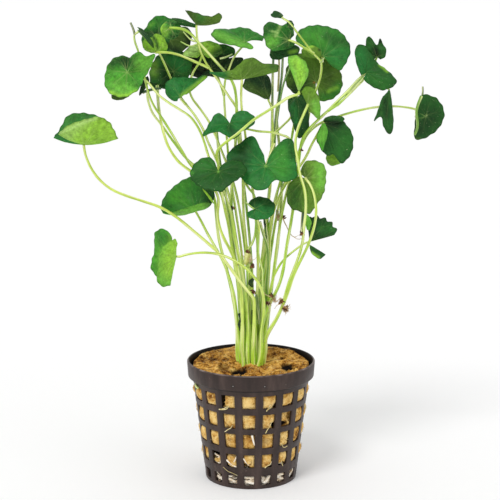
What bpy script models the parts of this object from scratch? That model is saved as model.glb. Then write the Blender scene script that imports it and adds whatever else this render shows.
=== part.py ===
"""Potted japanese cress: a bunch of round-leaved cress in a rockwool plug in a net pot.

Metres, +Z up. The origin is the centre of the pot's underside, and -Y is the front.
Lengths below are in millimetres and angles in degrees, and each mesh is scaled to metres.
"""

import math

import bpy
import numpy as np

MM = 0.001
GAP = 0.3

# Net pot
RIM_DIAMETER = 53.0
POT_HEIGHT = 50.0
RIM_BAND = 7.2
RIM_WALL = 0.9
SHOULDER = 0.8
SHOULDER_IN = 0.4
INNER_SHOULDER = 1.6
LIP_ROUND = (0.3, 0.5)
RIM_DRAFT = 0.2
WALL = 1.0
WALL_TOP_RADIUS = 24.2
BASE_RADIUS = 18.9
FLOOR = 1.2
COLUMNS = 17
BAR_WIDTH = 3.05
FIRST_BAR = -81.6
WINDOW_ROWS = ((1.6, 5.7), (9.4, 15.1), (17.9, 24.1), (26.5, 32.6), (35.3, 40.7))

# Rockwool plug and the roots under it, as (half width, height) where they come in pairs
PLUG_SIDES = 26
PLUG_TOP = 48.6
PLUG_CROWN = (15.0, 0.8)
PLUG_BOTTOM = 12.4
PLUG_FOOT = (14.0, 2.0)
PLUG_WAIST = 28.0
PLUG_TOP_RADIUS = 23.3
PLUG_STEP = (0.4, 3.4)
PLUG_EDGE = (22.2, 1.2)
PLUG_CLEARANCE = 0.5
PLUG_LUMP = 0.006
PLUG_RIPPLE = 0.25
WELL_HALF = (8.1, 7.4)
WELL_LIP = 0.4
WELL_FLOOR = 42.6
ROOTS_SIDES = 20
ROOTS_TOP = 11.7
ROOTS_BOTTOM = 1.6
ROOTS_CLEARANCE = 1.0
ROOTS_FOOT = (1.6, 1.4)
ROOTS_SHOULDER = (2.4, 1.9)
ROOTS_LUMP = 0.02
ROOTS_RIPPLE = 0.3

# The plant is set out as it looks from the front: across and up, on an upright plane
# through the pot's axis, and then how far behind that plane the point is.
EYE = np.array([-0.4, -620.0, 220.0])
GROUND_READS = 1.1

STEM_SIDES = 5
STEM_GAP = 0.65
SAMPLE = 2.5
THIN_TO = 0.36
BLADE = 0.6


def seen(across, up, behind):
    """The point that looks to be at (across, up) from the front, and lies this far behind."""
    on_plane = np.array([across, 0.0, up])
    point = EYE + (on_plane - EYE) * (behind - EYE[1]) / -EYE[1]
    return point - [0.0, 0.0, GROUND_READS]


def unit(vector):
    return vector / np.linalg.norm(vector)


def material(name, colour, roughness):
    made = bpy.data.materials.new(name)
    made.use_nodes = True
    shader = made.node_tree.nodes["Principled BSDF"]
    shader.inputs["Base Color"].default_value = (*colour, 1.0)
    shader.inputs["Roughness"].default_value = roughness
    shader.inputs["Metallic"].default_value = 0.0
    return made


def add_object(name, place, points, faces, finish, smooth=30.0):
    """A mesh object at the place, with its points measured from there."""
    place = np.asarray(place, float)
    mesh = bpy.data.meshes.new(name)
    mesh.from_pydata([tuple(p) for p in (np.asarray(points) - place) * MM], [], faces)
    mesh.materials.append(finish)
    if smooth:
        mesh.shade_smooth()
        mesh.set_sharp_from_angle(angle=math.radians(smooth))
    made = bpy.data.objects.new(name, mesh)
    made.location = place * MM
    bpy.context.scene.collection.objects.link(made)
    return made


# Net pot


def wall_radius(z):
    """The outer radius of the tapered wall at this height."""
    share = z / (POT_HEIGHT - RIM_BAND)
    return BASE_RADIUS + (WALL_TOP_RADIUS - BASE_RADIUS) * share


def ring(radius, z):
    """One ring of the pot's points, two to each upright bar."""
    points = []
    for column in range(COLUMNS):
        middle = math.radians(FIRST_BAR + 360.0 * column / COLUMNS)
        half = 0.5 * BAR_WIDTH / radius
        for angle in (middle - half, middle + half):
            points.append((radius * math.cos(angle), radius * math.sin(angle), z))
    return points


def make_pot(finish):
    rim = RIM_DIAMETER / 2
    band_bottom = POT_HEIGHT - RIM_BAND
    heights = [z for row in WINDOW_ROWS for z in row] + [band_bottom]
    outer = [(BASE_RADIUS, 0.0)] + [(wall_radius(z), z) for z in heights]
    outside = outer + [(rim - SHOULDER_IN, band_bottom + SHOULDER), (rim, POT_HEIGHT - LIP_ROUND[1]),
                       (rim - LIP_ROUND[0], POT_HEIGHT)]
    inside = [(rim - RIM_WALL, POT_HEIGHT), (rim - RIM_WALL - RIM_DRAFT, band_bottom + INNER_SHOULDER)]
    inside += [(wall_radius(z) - WALL, z) for z in reversed(heights)]
    inside.append((wall_radius(FLOOR) - WALL, FLOOR))
    around = 2 * COLUMNS
    points = []
    for radius, z in outside + inside:
        points += ring(radius, z)
    rings = len(outside) + len(inside)

    def at(level, step):
        return level * around + step % around

    last = rings - 1
    twin = {level: last - level for level in range(1, len(outer) - 1)}
    windows = {2 * row + 1 for row in range(len(WINDOW_ROWS))}
    faces = []
    for level in range(last):
        for step in range(around):
            low = level if level < len(outside) else last - level - 1
            if step % 2 == 1 and low in windows:
                continue
            faces.append((at(level, step), at(level, step + 1), at(level + 1, step + 1), at(level + 1, step)))
    for low in windows:
        for step in range(1, around, 2):
            inner_low, inner_high = twin[low], twin[low] - 1
            out = [at(low, step), at(low, step + 1), at(low + 1, step + 1), at(low + 1, step)]
            back = [at(inner_low, step), at(inner_low, step + 1), at(inner_high, step + 1),
                    at(inner_high, step)]
            for i in range(4):
                j = (i + 1) % 4
                faces.append((out[i], out[j], back[j], back[i]))
    faces.append(tuple(at(0, step) for step in reversed(range(around))))
    faces.append(tuple(at(last, step) for step in range(around)))
    return add_object("net_pot", (0, 0, 0), points, faces, finish)


# Rockwool plug and roots


def turned(profile, around, waver):
    """A closed turned solid from the profile, bottom to top, with end points on the axis.

    Each profile row is (half width in X, half width in Y, z), and waver gives a point's
    own share of its radius and its rise.
    """
    points = [(0.0, 0.0, profile[0][2])]
    for half_x, half_y, z in profile[1:-1]:
        for step in range(around):
            angle = 2 * math.pi * step / around
            share, rise = waver(angle, half_x, z)
            points.append((half_x * share * math.cos(angle), half_y * share * math.sin(angle), z + rise))
    points.append((0.0, 0.0, profile[-1][2]))
    rows = len(profile) - 2
    faces = []
    for step in range(around):
        after = (step + 1) % around
        faces.append((0, 1 + after, 1 + step))
        for row in range(rows - 1):
            low, high = 1 + row * around, 1 + (row + 1) * around
            faces.append((low + step, low + after, high + after, high + step))
        top = 1 + (rows - 1) * around
        faces.append((top + step, top + after, len(points) - 1))
    return points, faces


def lumps(angle, half, z):
    """Soft lumps that only take material away, so that the plug stays clear of the pot."""
    wave = math.sin(5 * angle + 0.21 * z) + 0.6 * math.sin(11 * angle - 0.37 * z + 1.3)
    share = 1.0 - PLUG_LUMP * (1.6 + wave)
    rise = PLUG_RIPPLE * math.sin(4 * angle + half) if z > WELL_FLOOR else 0.0
    return share, rise


def make_plug(finish):
    band_bottom = POT_HEIGHT - RIM_BAND

    def inside(z):
        radius = wall_radius(z) - WALL - PLUG_CLEARANCE
        return (radius, radius, z)

    def level(radius, z):
        return (radius, radius, z)

    profile = [level(0, PLUG_BOTTOM), level(PLUG_FOOT[0], PLUG_BOTTOM), inside(PLUG_BOTTOM + PLUG_FOOT[1])]
    profile += [inside(PLUG_WAIST), inside(band_bottom - PLUG_STEP[0])]
    profile.append(level(PLUG_TOP_RADIUS, band_bottom + PLUG_STEP[1]))
    profile.append(level(PLUG_TOP_RADIUS, PLUG_TOP - PLUG_EDGE[1]))
    profile += [level(PLUG_EDGE[0], PLUG_TOP), level(PLUG_CROWN[0], PLUG_TOP + PLUG_CROWN[1])]
    profile += [(*WELL_HALF, PLUG_TOP + WELL_LIP), (*WELL_HALF, WELL_FLOOR), level(0, WELL_FLOOR)]
    points, faces = turned(profile, PLUG_SIDES, lumps)
    return add_object("rockwool_plug", (0, 0, PLUG_BOTTOM), points, faces, finish, smooth=50.0)


def make_roots(finish):
    low = wall_radius(ROOTS_BOTTOM) - WALL - ROOTS_CLEARANCE
    high = wall_radius(ROOTS_TOP) - WALL - ROOTS_CLEARANCE
    middle = (ROOTS_TOP + ROOTS_BOTTOM) / 2

    def tangle(angle, half, z):
        share = 1.0 - ROOTS_LUMP * (1 + math.sin(7 * angle + z))
        return share, ROOTS_RIPPLE * math.sin(5 * angle) if abs(z - middle) < 3 else 0.0

    def level(radius, z):
        return (radius, radius, z)

    profile = [level(0, ROOTS_BOTTOM), level(low - ROOTS_FOOT[0], ROOTS_BOTTOM)]
    profile.append(level(low, ROOTS_BOTTOM + ROOTS_FOOT[1]))
    profile += [level(high, ROOTS_TOP - ROOTS_SHOULDER[1]), level(high - ROOTS_SHOULDER[0], ROOTS_TOP)]
    profile.append(level(0, ROOTS_TOP))
    points, faces = turned(profile, ROOTS_SIDES, tangle)
    return add_object("roots", (0, 0, ROOTS_BOTTOM), points, faces, finish, smooth=50.0)


# Leaves


class Leaf:
    """One blade: the hub where its stalk meets it, and its rim from one side of its notch
    to the other, anticlockwise as its upper face is seen.

    Each rim point is as seen from the front, (across, up), and how far behind the hub it is.
    dome raises the blade half-way out, towards the upper face, or the underside if negative.
    """

    def __init__(self, name, hub, rim, dome=0.0):
        self.name = name
        self.hub = seen(*hub)
        self.rim = np.array([seen(across, up, hub[2] + behind) for across, up, behind in rim])
        arms = self.rim - self.hub
        self.face = unit(np.cross(arms[:-1], arms[1:]).sum(axis=0))
        self.dome = dome

    def grid(self, rim, shares):
        """The blade's middle surface: a row of points for each share of the way to the rim."""
        shares = np.asarray(shares)[:, None, None]
        rise = 4 * self.dome * shares * (1 - shares)
        return self.hub + shares * (rim - self.hub) + rise * self.face

    def stalk_end(self, stalk_radius):
        """Where its stalk stops: just under the blade at the hub."""
        return self.hub - self.face * (BLADE / 2 + GAP + stalk_radius)


def make_leaf(leaf, finish):
    """The blade as a closed solid: its middle surface moved half its thickness to each side."""
    shares = (0.5, 1.0) if leaf.dome else (1.0,)
    rows = leaf.grid(leaf.rim, shares)
    across = len(leaf.rim)
    middle = np.vstack([leaf.hub[None], rows.reshape(-1, 3)])

    def at(row, spoke):
        return 0 if row == 0 else 1 + (row - 1) * across + spoke

    sheet = []
    for spoke in range(across - 1):
        sheet.append((0, at(1, spoke), at(1, spoke + 1)))
        for row in range(1, len(shares)):
            sheet.append((at(row, spoke), at(row + 1, spoke), at(row + 1, spoke + 1), at(row, spoke + 1)))
    normals = np.zeros_like(middle)
    for face in sheet:
        corners = middle[list(face)]
        normals[list(face)] += np.cross(corners[1] - corners[0], corners[-1] - corners[0])
    normals /= np.linalg.norm(normals, axis=1, keepdims=True)
    points = np.vstack([middle + normals * BLADE / 2, middle - normals * BLADE / 2])
    under = len(middle)
    faces = sheet + [tuple(under + i for i in reversed(face)) for face in sheet]
    rim = len(shares)
    edge = [at(row, 0) for row in range(rim + 1)] + [at(rim, spoke) for spoke in range(1, across)]
    edge += [at(row, across - 1) for row in range(rim - 1, -1, -1)]
    for start, end in zip(edge, edge[1:]):
        faces.append((start, under + start, under + end, end))
    return add_object(leaf.name, leaf.hub, points, faces, finish, smooth=40.0)


# Stems


def smooth_route(points, spacing):
    """Points at this spacing along a smooth curve through the given ones."""
    points = np.asarray(points, float)
    ends = np.vstack([2 * points[0] - points[1], points, 2 * points[-1] - points[-2]])
    curve = [points[0]]
    for p0, p1, p2, p3 in zip(ends, ends[1:], ends[2:], ends[3:]):
        for t in np.linspace(0, 1, 13)[1:]:
            curve.append(0.5 * (2 * p1 + (p2 - p0) * t + (2 * p0 - 5 * p1 + 4 * p2 - p3) * t ** 2
                                + (3 * p1 - p0 - 3 * p2 + p3) * t ** 3))
    curve = np.array(curve)
    length = np.concatenate([[0], np.cumsum(np.linalg.norm(np.diff(curve, axis=0), axis=1))])
    count = max(3, round(length[-1] / spacing) + 1)
    stops = np.linspace(0, length[-1], count)
    return np.stack([np.interp(stops, length, curve[:, axis]) for axis in range(3)], axis=1)


class Stem:
    """One shoot: a trunk that rises from the plug, and the stalks that fork from it.

    slot is its place in the bunch, the route is what is seen of it from the bunch up, and
    to names the blade at its end. Each stalk starts at a given place on the trunk.
    """

    def __init__(self, name, slot, route, to=None, thick=(1.9, 1.5), stalks=()):
        self.name = name
        foot = [(slot[0], slot[1], WELL_FLOOR + GAP), (slot[0], slot[1], PLUG_TOP + 1.0)]
        trunk = foot + [seen(*p) for p in route]
        self.runs = [Run(trunk, thick, to)]
        for stalk in stalks:
            start, route, to, thin = stalk
            self.runs.append(Run([seen(*start)] + [seen(*p) for p in route], (thin + 0.2, thin), to))

    def fork_places(self):
        trunk = self.runs[0].points
        for run in self.runs[1:]:
            run.joint = int(np.argmin(np.linalg.norm(trunk - run.points[0], axis=1)))
            run.follow(trunk[run.joint])


class Run:
    """One unforked length, with its points and its radius at each."""

    def __init__(self, points, thick, to):
        if to:
            points = list(points) + [LEAF[to].stalk_end(thick[1] / 2)]
        self.points = smooth_route(points, SAMPLE)
        self.radius = np.linspace(thick[0] / 2, thick[1] / 2, len(self.points))
        self.distance = np.concatenate([[0], np.cumsum(np.linalg.norm(np.diff(self.points, axis=0), axis=1))])
        self.joint = None

    def freedom(self):
        """How far each point may give way: not at the ends, and fully 12 mm from them."""
        from_foot = 1.0 if self.joint is not None else np.clip((self.distance - 6) / 12, 0, 1)
        to_tip = np.clip((self.distance[-1] - self.distance) / 12, 0, 1)
        return from_foot * to_tip

    def follow(self, place):
        """Keeps a stalk's start on its trunk, and eases the change out along the stalk."""
        shift = place - self.points[0]
        ease = np.clip(1 - self.distance / min(15.0, self.distance[-1] - 0.1), 0, 1) ** 2
        self.points = self.points + ease[:, None] * shift


def blurred(push):
    """A push spread along a run, so that it gives way in one smooth bow."""
    reach = 6
    kernel = np.exp(-0.5 * (np.arange(-reach, reach + 1) / 2.4) ** 2)
    spread = [np.convolve(push[:, axis], kernel)[reach:reach + len(push)] for axis in range(3)]
    return np.stack(spread, axis=1) / kernel.sum() * 1.6


def ease_apart(stems, rounds=110):
    """Moves runs that touch away from each other, mostly in depth, which the front doesn't show."""
    for stem in stems:
        stem.fork_places()
    runs = [run for stem in stems for run in stem.runs]
    owner = [stem.name for stem in stems for _ in stem.runs]
    for _ in range(rounds):
        moved = False
        pushes = [np.zeros_like(run.points) for run in runs]
        for i, first in enumerate(runs):
            for j in range(i + 1, len(runs)):
                second = runs[j]
                if owner[i] == owner[j]:
                    continue
                low = np.maximum(first.points.min(axis=0), second.points.min(axis=0)) - 2.5
                high = np.minimum(first.points.max(axis=0), second.points.max(axis=0)) + 2.5
                if (low > high).any():
                    continue
                apart = first.points[:, None] - second.points[None]
                distance = np.linalg.norm(apart, axis=2)
                need = first.radius[:, None] + second.radius[None] + STEM_GAP
                short = np.clip(need - distance, 0, None)
                if not short.any():
                    continue
                moved = True
                way = apart * [0.35, 1.0, 0.15]
                way[..., 1] += np.where(apart[..., 1] >= 0, 0.4, -0.4)
                way /= np.linalg.norm(way, axis=2, keepdims=True)
                force = short[..., None] * way
                most = np.abs(short).argmax(axis=1)
                pushes[i] += force[np.arange(len(most)), most]
                most = np.abs(short).argmax(axis=0)
                pushes[j] -= force[most, np.arange(len(most))]
        if not moved:
            break
        for run, push in zip(runs, pushes):
            run.points = run.points + 0.5 * blurred(push) * run.freedom()[:, None]
        for stem in stems:
            for run in stem.runs[1:]:
                run.follow(stem.runs[0].points[run.joint])


def thinned(points, tolerance):
    """The indices of the points that keep the curve within the tolerance."""
    keep = {0, len(points) - 1}
    spans = [(0, len(points) - 1)]
    while spans:
        first, last = spans.pop()
        if last - first < 2:
            continue
        way = unit(points[last] - points[first])
        offset = points[first + 1:last] - points[first]
        away = np.linalg.norm(offset - np.outer(offset @ way, way), axis=1)
        worst = int(away.argmax())
        if away[worst] > tolerance:
            middle = first + 1 + worst
            keep.add(middle)
            spans += [(first, middle), (middle, last)]
    return sorted(keep)


def tube(points, radius, sides):
    """A closed tube round the points."""
    ways = np.gradient(points, axis=0)
    side = unit(np.cross(ways[0], [0.3, 1.0, 0.1]))
    ring_points = []
    for point, way, r in zip(points, ways, radius):
        way = unit(way)
        side = unit(side - way * (side @ way))
        other = np.cross(way, side)
        for step in range(sides):
            angle = 2 * math.pi * step / sides
            ring_points.append(point + r * (side * math.cos(angle) + other * math.sin(angle)))
    faces = []
    for row in range(len(points) - 1):
        for step in range(sides):
            after = (step + 1) % sides
            low, high = row * sides, (row + 1) * sides
            faces.append((low + step, low + after, high + after, high + step))
    faces.append(tuple(reversed(range(sides))))
    faces.append(tuple(range(len(ring_points) - sides, len(ring_points))))
    return ring_points, faces


def make_stem(stem, finish):
    made = []
    for number, run in enumerate(stem.runs):
        keep = thinned(run.points, THIN_TO)
        points, faces = tube(run.points[keep], run.radius[keep], STEM_SIDES)
        name = stem.name if number == 0 else f"{stem.name}_fork_{number}"
        made.append(add_object(name, run.points[0], points, faces, finish))
    for stalk in made[1:]:
        stalk.hide_render = True
        stalk.display_type = "WIRE"
        union = made[0].modifiers.new(stalk.name, "BOOLEAN")
        union.operation = "UNION"
        union.solver = "EXACT"
        union.object = stalk
    return made[0]


# The plant: every blade, and then every shoot

LEAVES = [
    # Left side
    Leaf("leaf_far_left", (-67.5, 140.6, -18),
         [(-78, 145.2, -4), (-75.5, 147.3, -7), (-70, 149.8, -9), (-62, 152.2, -9), (-57, 149.7, -6),
          (-55, 146.5, -3.5), (-53.5, 143.5, -1), (-55.5, 146.5, 3), (-58.5, 150, 6), (-62, 152.6, 8),
          (-67, 153.7, 9), (-73.5, 152.3, 8), (-77, 147.5, 5), (-80, 143.5, 1)], dome=-1.0),
    Leaf("leaf_low_left", (-30.6, 94.6, -17),
         [(-32.6, 103, 1), (-34.2, 105.4, 2), (-36, 106.2, 3), (-38.6, 105.2, 4), (-39.8, 102.5, 5),
          (-40, 96, 5), (-41, 90.3, 4), (-40, 87.3, 3), (-36.5, 84, 1.5), (-33.2, 82.4, 0),
          (-36, 81.7, -2), (-38.2, 83.2, -3), (-39.2, 86, -4), (-38.2, 91, -5), (-37.4, 95.5, -5),
          (-36, 98.9, -4), (-33.5, 101, -2.5), (-31.3, 102.1, -1.5), (-29.9, 100.3, -0.5)]),
    Leaf("leaf_left_hand", (-22.8, 113.9, -6),
         [(-15.3, 117.2, -1), (-14.6, 120.5, 0), (-16, 124.5, 2), (-20, 127.3, 4), (-25, 127.3, 6),
          (-30, 125, 6.5), (-34.3, 121, 5.5), (-36.7, 115.5, 2), (-35.8, 112.6, -2), (-31, 113.2, -5),
          (-25, 115.2, -6), (-19.5, 117.1, -4.5), (-16, 117, -2.5)], dome=-2.4),
    Leaf("leaf_big_left", (-49.5, 169.7, -13),
         [(-49.3, 176.1, 1), (-52.2, 176.4, 1.5), (-55.5, 175, 2), (-57.9, 171.5, 2), (-58.9, 166, 1),
          (-57.9, 162.6, 0), (-55.4, 160.4, -1), (-51, 159.6, -1.5), (-46.6, 161.4, -1), (-44.3, 163.6, 0),
          (-42.8, 167, 1), (-40.6, 170.4, 2), (-38.9, 174.2, 1), (-38.2, 177.2, -1), (-41.4, 176.2, -2),
          (-44.8, 178, -3), (-47, 176.8, -2.5), (-48.6, 175.3, -2)], dome=-0.8),
    Leaf("leaf_dark_sliver", (-42.3, 167.6, -3.5),
         [(-43.2, 168, -1), (-44, 165, -1.5), (-44.9, 161.5, -1), (-44.6, 160.2, 0), (-42, 163.5, 0),
          (-40.6, 166.2, 0.5), (-41.2, 168.3, 0)]),
    # Top left
    Leaf("leaf_top_left", (-37, 183, 2),
         [(-33, 177, -1), (-27.5, 178.5, 0), (-25.8, 183, 1), (-27.5, 187.5, 2), (-31, 190.8, 2),
          (-36, 192.4, 2), (-39.5, 191, 1.5), (-41.6, 188, 1), (-43.3, 185, 0), (-43.6, 181, -1),
          (-42, 177.8, -2)], dome=-0.8),
    Leaf("leaf_thin_edge", (-44.4, 186.2, -11),
         [(-45.5, 186.4, -1), (-43.8, 184.6, -3), (-41.8, 182.6, -4), (-39.8, 180.6, -3), (-38.4, 179.4, 0),
          (-39.5, 182, 3), (-41.6, 184.8, 4), (-43.2, 186.6, 3), (-45.2, 187.8, 1)]),
    Leaf("leaf_light_pair", (-37.7, 177.5, -5),
         [(-40, 177.4, 0), (-42.8, 178.9, -1), (-43.3, 181.5, -1), (-41.8, 183.8, 0.5), (-39.8, 183.6, 2),
          (-38.6, 184.8, 1.5), (-36, 184.9, 0), (-34.2, 182.8, -1.5), (-33.2, 180.3, -2),
          (-33.5, 178.1, -1.5)]),
    Leaf("leaf_round_under", (-32, 187.2, -10.5),
         [(-28.2, 186.2, 1.5), (-28.8, 184.3, 1.5), (-31, 182.8, 1), (-34, 183.1, 0.5), (-35.9, 185.3, 0.5),
          (-35.8, 187.8, 1), (-34, 189.6, 1.5), (-31.5, 190.6, 2.5), (-29.2, 189.6, 2.5)], dome=-0.6),
    Leaf("leaf_saddle", (-21.6, 188.5, -8),
         [(-26.3, 194.8, -2), (-22, 193.3, -4), (-18.5, 192, -5), (-15, 192, -5), (-12.4, 193.6, -3),
          (-11.4, 191.5, -1.5), (-12.5, 189.4, 0), (-13.5, 191, 4), (-17, 190.8, 7), (-21, 191.6, 8),
          (-24.6, 193, 5)], dome=-0.6),
    Leaf("leaf_mottled", (-19.5, 177, 6.5),
         [(-21.5, 175.4, -1.5), (-25, 175.9, -2), (-27.3, 176.9, -2.5), (-25.5, 179.3, -2.5),
          (-22, 181, -1.5), (-18, 182.2, -0.5), (-14.5, 181.8, -1), (-11.6, 179.8, -1.5), (-11.4, 177.6, -2),
          (-13.8, 175.8, -2.5), (-17, 175.3, -1.5)], dome=-0.8),
    Leaf("leaf_back_left", (-31, 170, 6),
         [(-33.2, 163.4, -1), (-28.6, 164.2, -1), (-25.2, 167.2, 0), (-23.5, 171, 1), (-23.8, 174.8, 1),
          (-27, 178, 1), (-32, 178.5, 0), (-37, 176.8, 0), (-40, 172.5, 0), (-40.8, 168, -1),
          (-39.6, 165.3, -1), (-35.4, 164.6, -1)], dome=0.8),
    Leaf("leaf_back_middle", (-16, 171.5, 9),
         [(-20, 168.6, -1), (-14, 167.8, -1), (-8.6, 169.5, 0), (-7.6, 173.5, 1), (-9.5, 176.3, 1),
          (-15, 176.9, 1), (-19.5, 176.4, 0.5), (-22.3, 173.5, 0), (-21.8, 170.5, -0.5)], dome=0.8),
    Leaf("leaf_heart", (-28.4, 159.6, -5),
         [(-25.8, 160.9, 0.5), (-20.8, 164.9, 2), (-17.2, 167.8, 4), (-18.6, 168.5, 5), (-22, 167.5, 6),
          (-26.4, 168.1, 5), (-30.4, 167.8, 4), (-33.5, 166.2, 3), (-34.6, 163.5, 2), (-33.7, 160.2, 1),
          (-31.2, 158.4, 0.5), (-29.6, 158.2, 0)], dome=0.6),
    # Top middle
    Leaf("leaf_crest", (-2.8, 181.4, 2.5),
         [(4.9, 182.3, 1), (4.8, 184.4, 2.5), (0.5, 186.2, 4.5), (-4, 187.6, 5.5),
          (-9, 187.1, 6), (-13.8, 186.9, 4.5), (-16, 184.6, 1.5), (-13.3, 182.1, -1.5), (-9.5, 180.9, -3.5),
          (-4.5, 179.6, -4.5), (0.4, 179, -3.5), (0.9, 179.8, -2), (-0.5, 180.9, -0.5)], dome=0.5),
    Leaf("leaf_wide_curl", (-3.8, 166.8, -7),
         [(-11, 166.9, -1.2), (-17, 169.9, -2), (-12.6, 170, -2.4), (-7.5, 170.8, -3),
          (-4.6, 173.2, -4), (-1.8, 175.5, -4), (2, 175.5, -3), (4, 173.7, -2), (7.4, 173, -1.4),
          (10.8, 172.8, -1), (11.1, 170.1, -0.5)], dome=-0.8),
    Leaf("leaf_dark_middle", (7.2, 158.9, 3.5),
         [(8, 161.5, 0.5), (8, 166, 1.5), (6, 169.3, 1), (2, 170.2, 0.5), (-1.5, 168, 0), (-3.4, 164.8, -1),
          (-2, 162.6, -2), (2, 160.7, -2), (5.5, 158.9, -1.5)], dome=0.6),
    Leaf("leaf_crinkled", (15.2, 182.4, -5),
         [(17.9, 181.3, 1), (15.5, 179.2, 1), (12, 178.4, 0), (8.3, 178.1, 0), (6, 180.3, 0), (5, 183.5, 0),
          (4.8, 187, 1), (6.3, 189.6, 2), (9.8, 189.3, 1), (11.8, 188.3, 0), (14.2, 189.1, 1),
          (16.6, 187.3, 2), (17.3, 184.5, 1)], dome=-0.6),
    Leaf("leaf_tip", (12.4, 191.9, -8.5),
         [(12.9, 192.5, 0.3), (11.4, 193.6, 1), (9.8, 194.1, 1.5), (7.6, 192.8, 1), (8.6, 191.5, -0.5),
          (10.5, 191.4, -1), (11.8, 191, -0.7)]),
    # Top right
    Leaf("leaf_big_round", (28.6, 175.9, 3.5),
         [(31, 173.3, -0.5), (35.6, 170.4, 0.5), (38.3, 173.8, 1.5), (39.9, 178.5, 2.5), (38.6, 182.3, 3.5),
          (35.5, 186, 4.5), (31, 187.8, 4.5), (26, 188.7, 4.5), (21.5, 187.7, 3.5), (18.2, 185.3, 2.5),
          (18, 181.8, 0.5), (20.5, 179.9, -0.5), (24.5, 177.4, -2)], dome=0.8),
    Leaf("leaf_big_dark", (26, 166, 11),
         [(27.4, 158, -2), (31.2, 158.3, -2), (34.6, 160.2, -1.5), (36.6, 163.6, -1), (36.6, 167.5, 0),
          (35, 172, 1), (30, 175.5, 2), (24, 177.5, 2), (18.5, 177, 1), (14.5, 172.5, 0), (13.5, 167, -1),
          (15.5, 162.5, -2), (20, 160, -2), (25.6, 158.6, -1.5)], dome=0.8),
    Leaf("leaf_light_folded", (19.1, 162, -11),
         [(14.6, 173.8, 0.5), (15.1, 176, 0), (18.5, 176.2, -1), (21.8, 174, -1), (23.1, 170.3, -0.5),
          (22, 166.9, 2.5), (20.6, 168.5, 7), (18.6, 172, 9.5), (16.2, 172.5, 9)]),
    Leaf("leaf_under_right", (22.6, 156.6, -6.5),
         [(19.9, 162.2, 0), (22.2, 164.3, 0.5), (24.8, 163.6, 1), (27.2, 160.3, 1), (28, 156, 0.5),
          (27.8, 151.2, 0), (26.8, 150.9, 0), (24.8, 153, 0), (23, 154.2, 0)], dome=-0.4),
    Leaf("leaf_dark_hanging", (18.4, 160, 4),
         [(15.2, 160.4, -1), (14.6, 156.8, -1), (15.3, 153.2, -2), (17, 148.4, -2.5), (18.8, 143.6, -3),
          (20.5, 143.2, -2), (23.2, 146.5, -1), (23.4, 152.6, -0.5), (22.8, 157.2, 0), (20.9, 160.7, 0)]),
    # Right side
    Leaf("leaf_kidney", (46, 169.5, 6),
         [(44.9, 167, -1), (46.4, 165.4, -1.5), (49.6, 163.4, -2.5), (53.8, 162.5, -4), (58.5, 165.4, -4),
          (55.3, 170, -1), (50.6, 173.6, 0), (48.2, 176.7, 0.5), (45.3, 180.4, 0), (43.2, 180.9, -1),
          (41.4, 178.9, -2), (42, 173.4, -2), (44, 168.4, -1)], dome=0.8),
    Leaf("leaf_curly", (50.3, 175.8, 10),
         [(51.8, 174.7, 0), (53.7, 176, -1), (54, 178.8, -1), (52.5, 181.4, 0), (51.3, 183.4, 0.5),
          (50.2, 180.6, 1), (46.9, 184.3, 0.5), (45.5, 180.8, 0), (46.4, 177.4, 0), (49, 174.7, 0)]),
    Leaf("leaf_narrow_hanging", (55.5, 162.9, 3),
         [(52.8, 159.8, -1), (51.2, 155, -1.5), (49.3, 150, -1.5), (52.1, 151.8, -0.5), (53.6, 147.3, 0),
          (55.8, 144.6, 1), (56.8, 146, 1.5), (57.2, 151.3, 2), (55.8, 155.5, 2), (56.2, 160, 1.5)]),
    Leaf("leaf_far_right", (70.4, 152.4, 5),
         [(66.1, 151.8, -1.5), (65.7, 147.4, -2), (65.8, 143.2, -2), (68.5, 142.5, -1.5), (72, 143.9, -0.5),
          (75.6, 147, 0), (77.7, 151.5, 0), (77.5, 155.5, 0), (74.8, 159.3, 0), (71.5, 160.7, 0),
          (68.7, 161, -1), (67.2, 158.5, -2), (66.2, 154, -3)], dome=-0.8),
    Leaf("leaf_right_round", (29.4, 149.2, 0),
         [(27.6, 147.3, 0), (26.3, 143.2, 0), (27.4, 140.2, -0.5), (29, 137.6, -1), (31, 136, -1),
          (33.4, 136.3, -0.5), (34.8, 134.6, 0), (36.4, 132.8, 0), (38.8, 134.2, 1), (40.8, 137.3, 1.5),
          (41.5, 141, 2), (40.9, 145, 2.5), (38.8, 148.4, 2.5), (36.2, 151.1, 3), (32.5, 152.1, 3)],
         dome=-1.0),
    # Middle
    Leaf("leaf_heart_middle", (-8.6, 149.2, -5),
         [(-10.5, 151.6, 1), (-13.3, 153.4, 1.5), (-16, 150.7, 1), (-19.8, 144.2, -2), (-16.5, 145, -4),
          (-12.5, 145.3, -5.5), (-7.2, 142.9, -6.5), (-3.5, 145.6, -5), (0.5, 148, -3.5), (2, 150.7, -2),
          (0.3, 153.2, 0), (-3.5, 154.5, 1), (-6.8, 152.8, 1)], dome=0.5),
    Leaf("leaf_kidney_left", (-13.2, 129.4, -14),
         [(-15.1, 134.4, 3.5), (-17.2, 135.6, 4.5), (-20.6, 134.6, 4), (-23.6, 132, 2.5),
          (-24.9, 128.2, 0), (-23.3, 125.1, -3), (-19.5, 122.4, -6), (-15.5, 121.8, -7.5), (-12, 121.4, -8),
          (-8.5, 124, -6.5), (-4.5, 126.7, -4), (-1.6, 129.5, -1), (-2.5, 132.6, 1.5), (-6, 134.2, 3.5),
          (-9.5, 133.7, 3.5), (-12, 131.9, 2)], dome=0.6),
    Leaf("leaf_kidney_middle", (6, 131.7, -10),
         [(5.1, 136.9, 3), (3.3, 139.8, 5), (1.9, 142.9, 6), (-0.3, 144.2, 6.5), (-3, 142.3, 6.5),
          (-6.8, 139.9, 6), (-9.8, 136.6, 4.5), (-9.2, 131.5, 2), (-4.4, 126.9, -2), (-0.8, 123.8, -5),
          (3.3, 121.7, -7), (6.8, 122.8, -7), (9.9, 126, -5), (13.5, 125.2, -5), (18.6, 127.3, -3),
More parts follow.
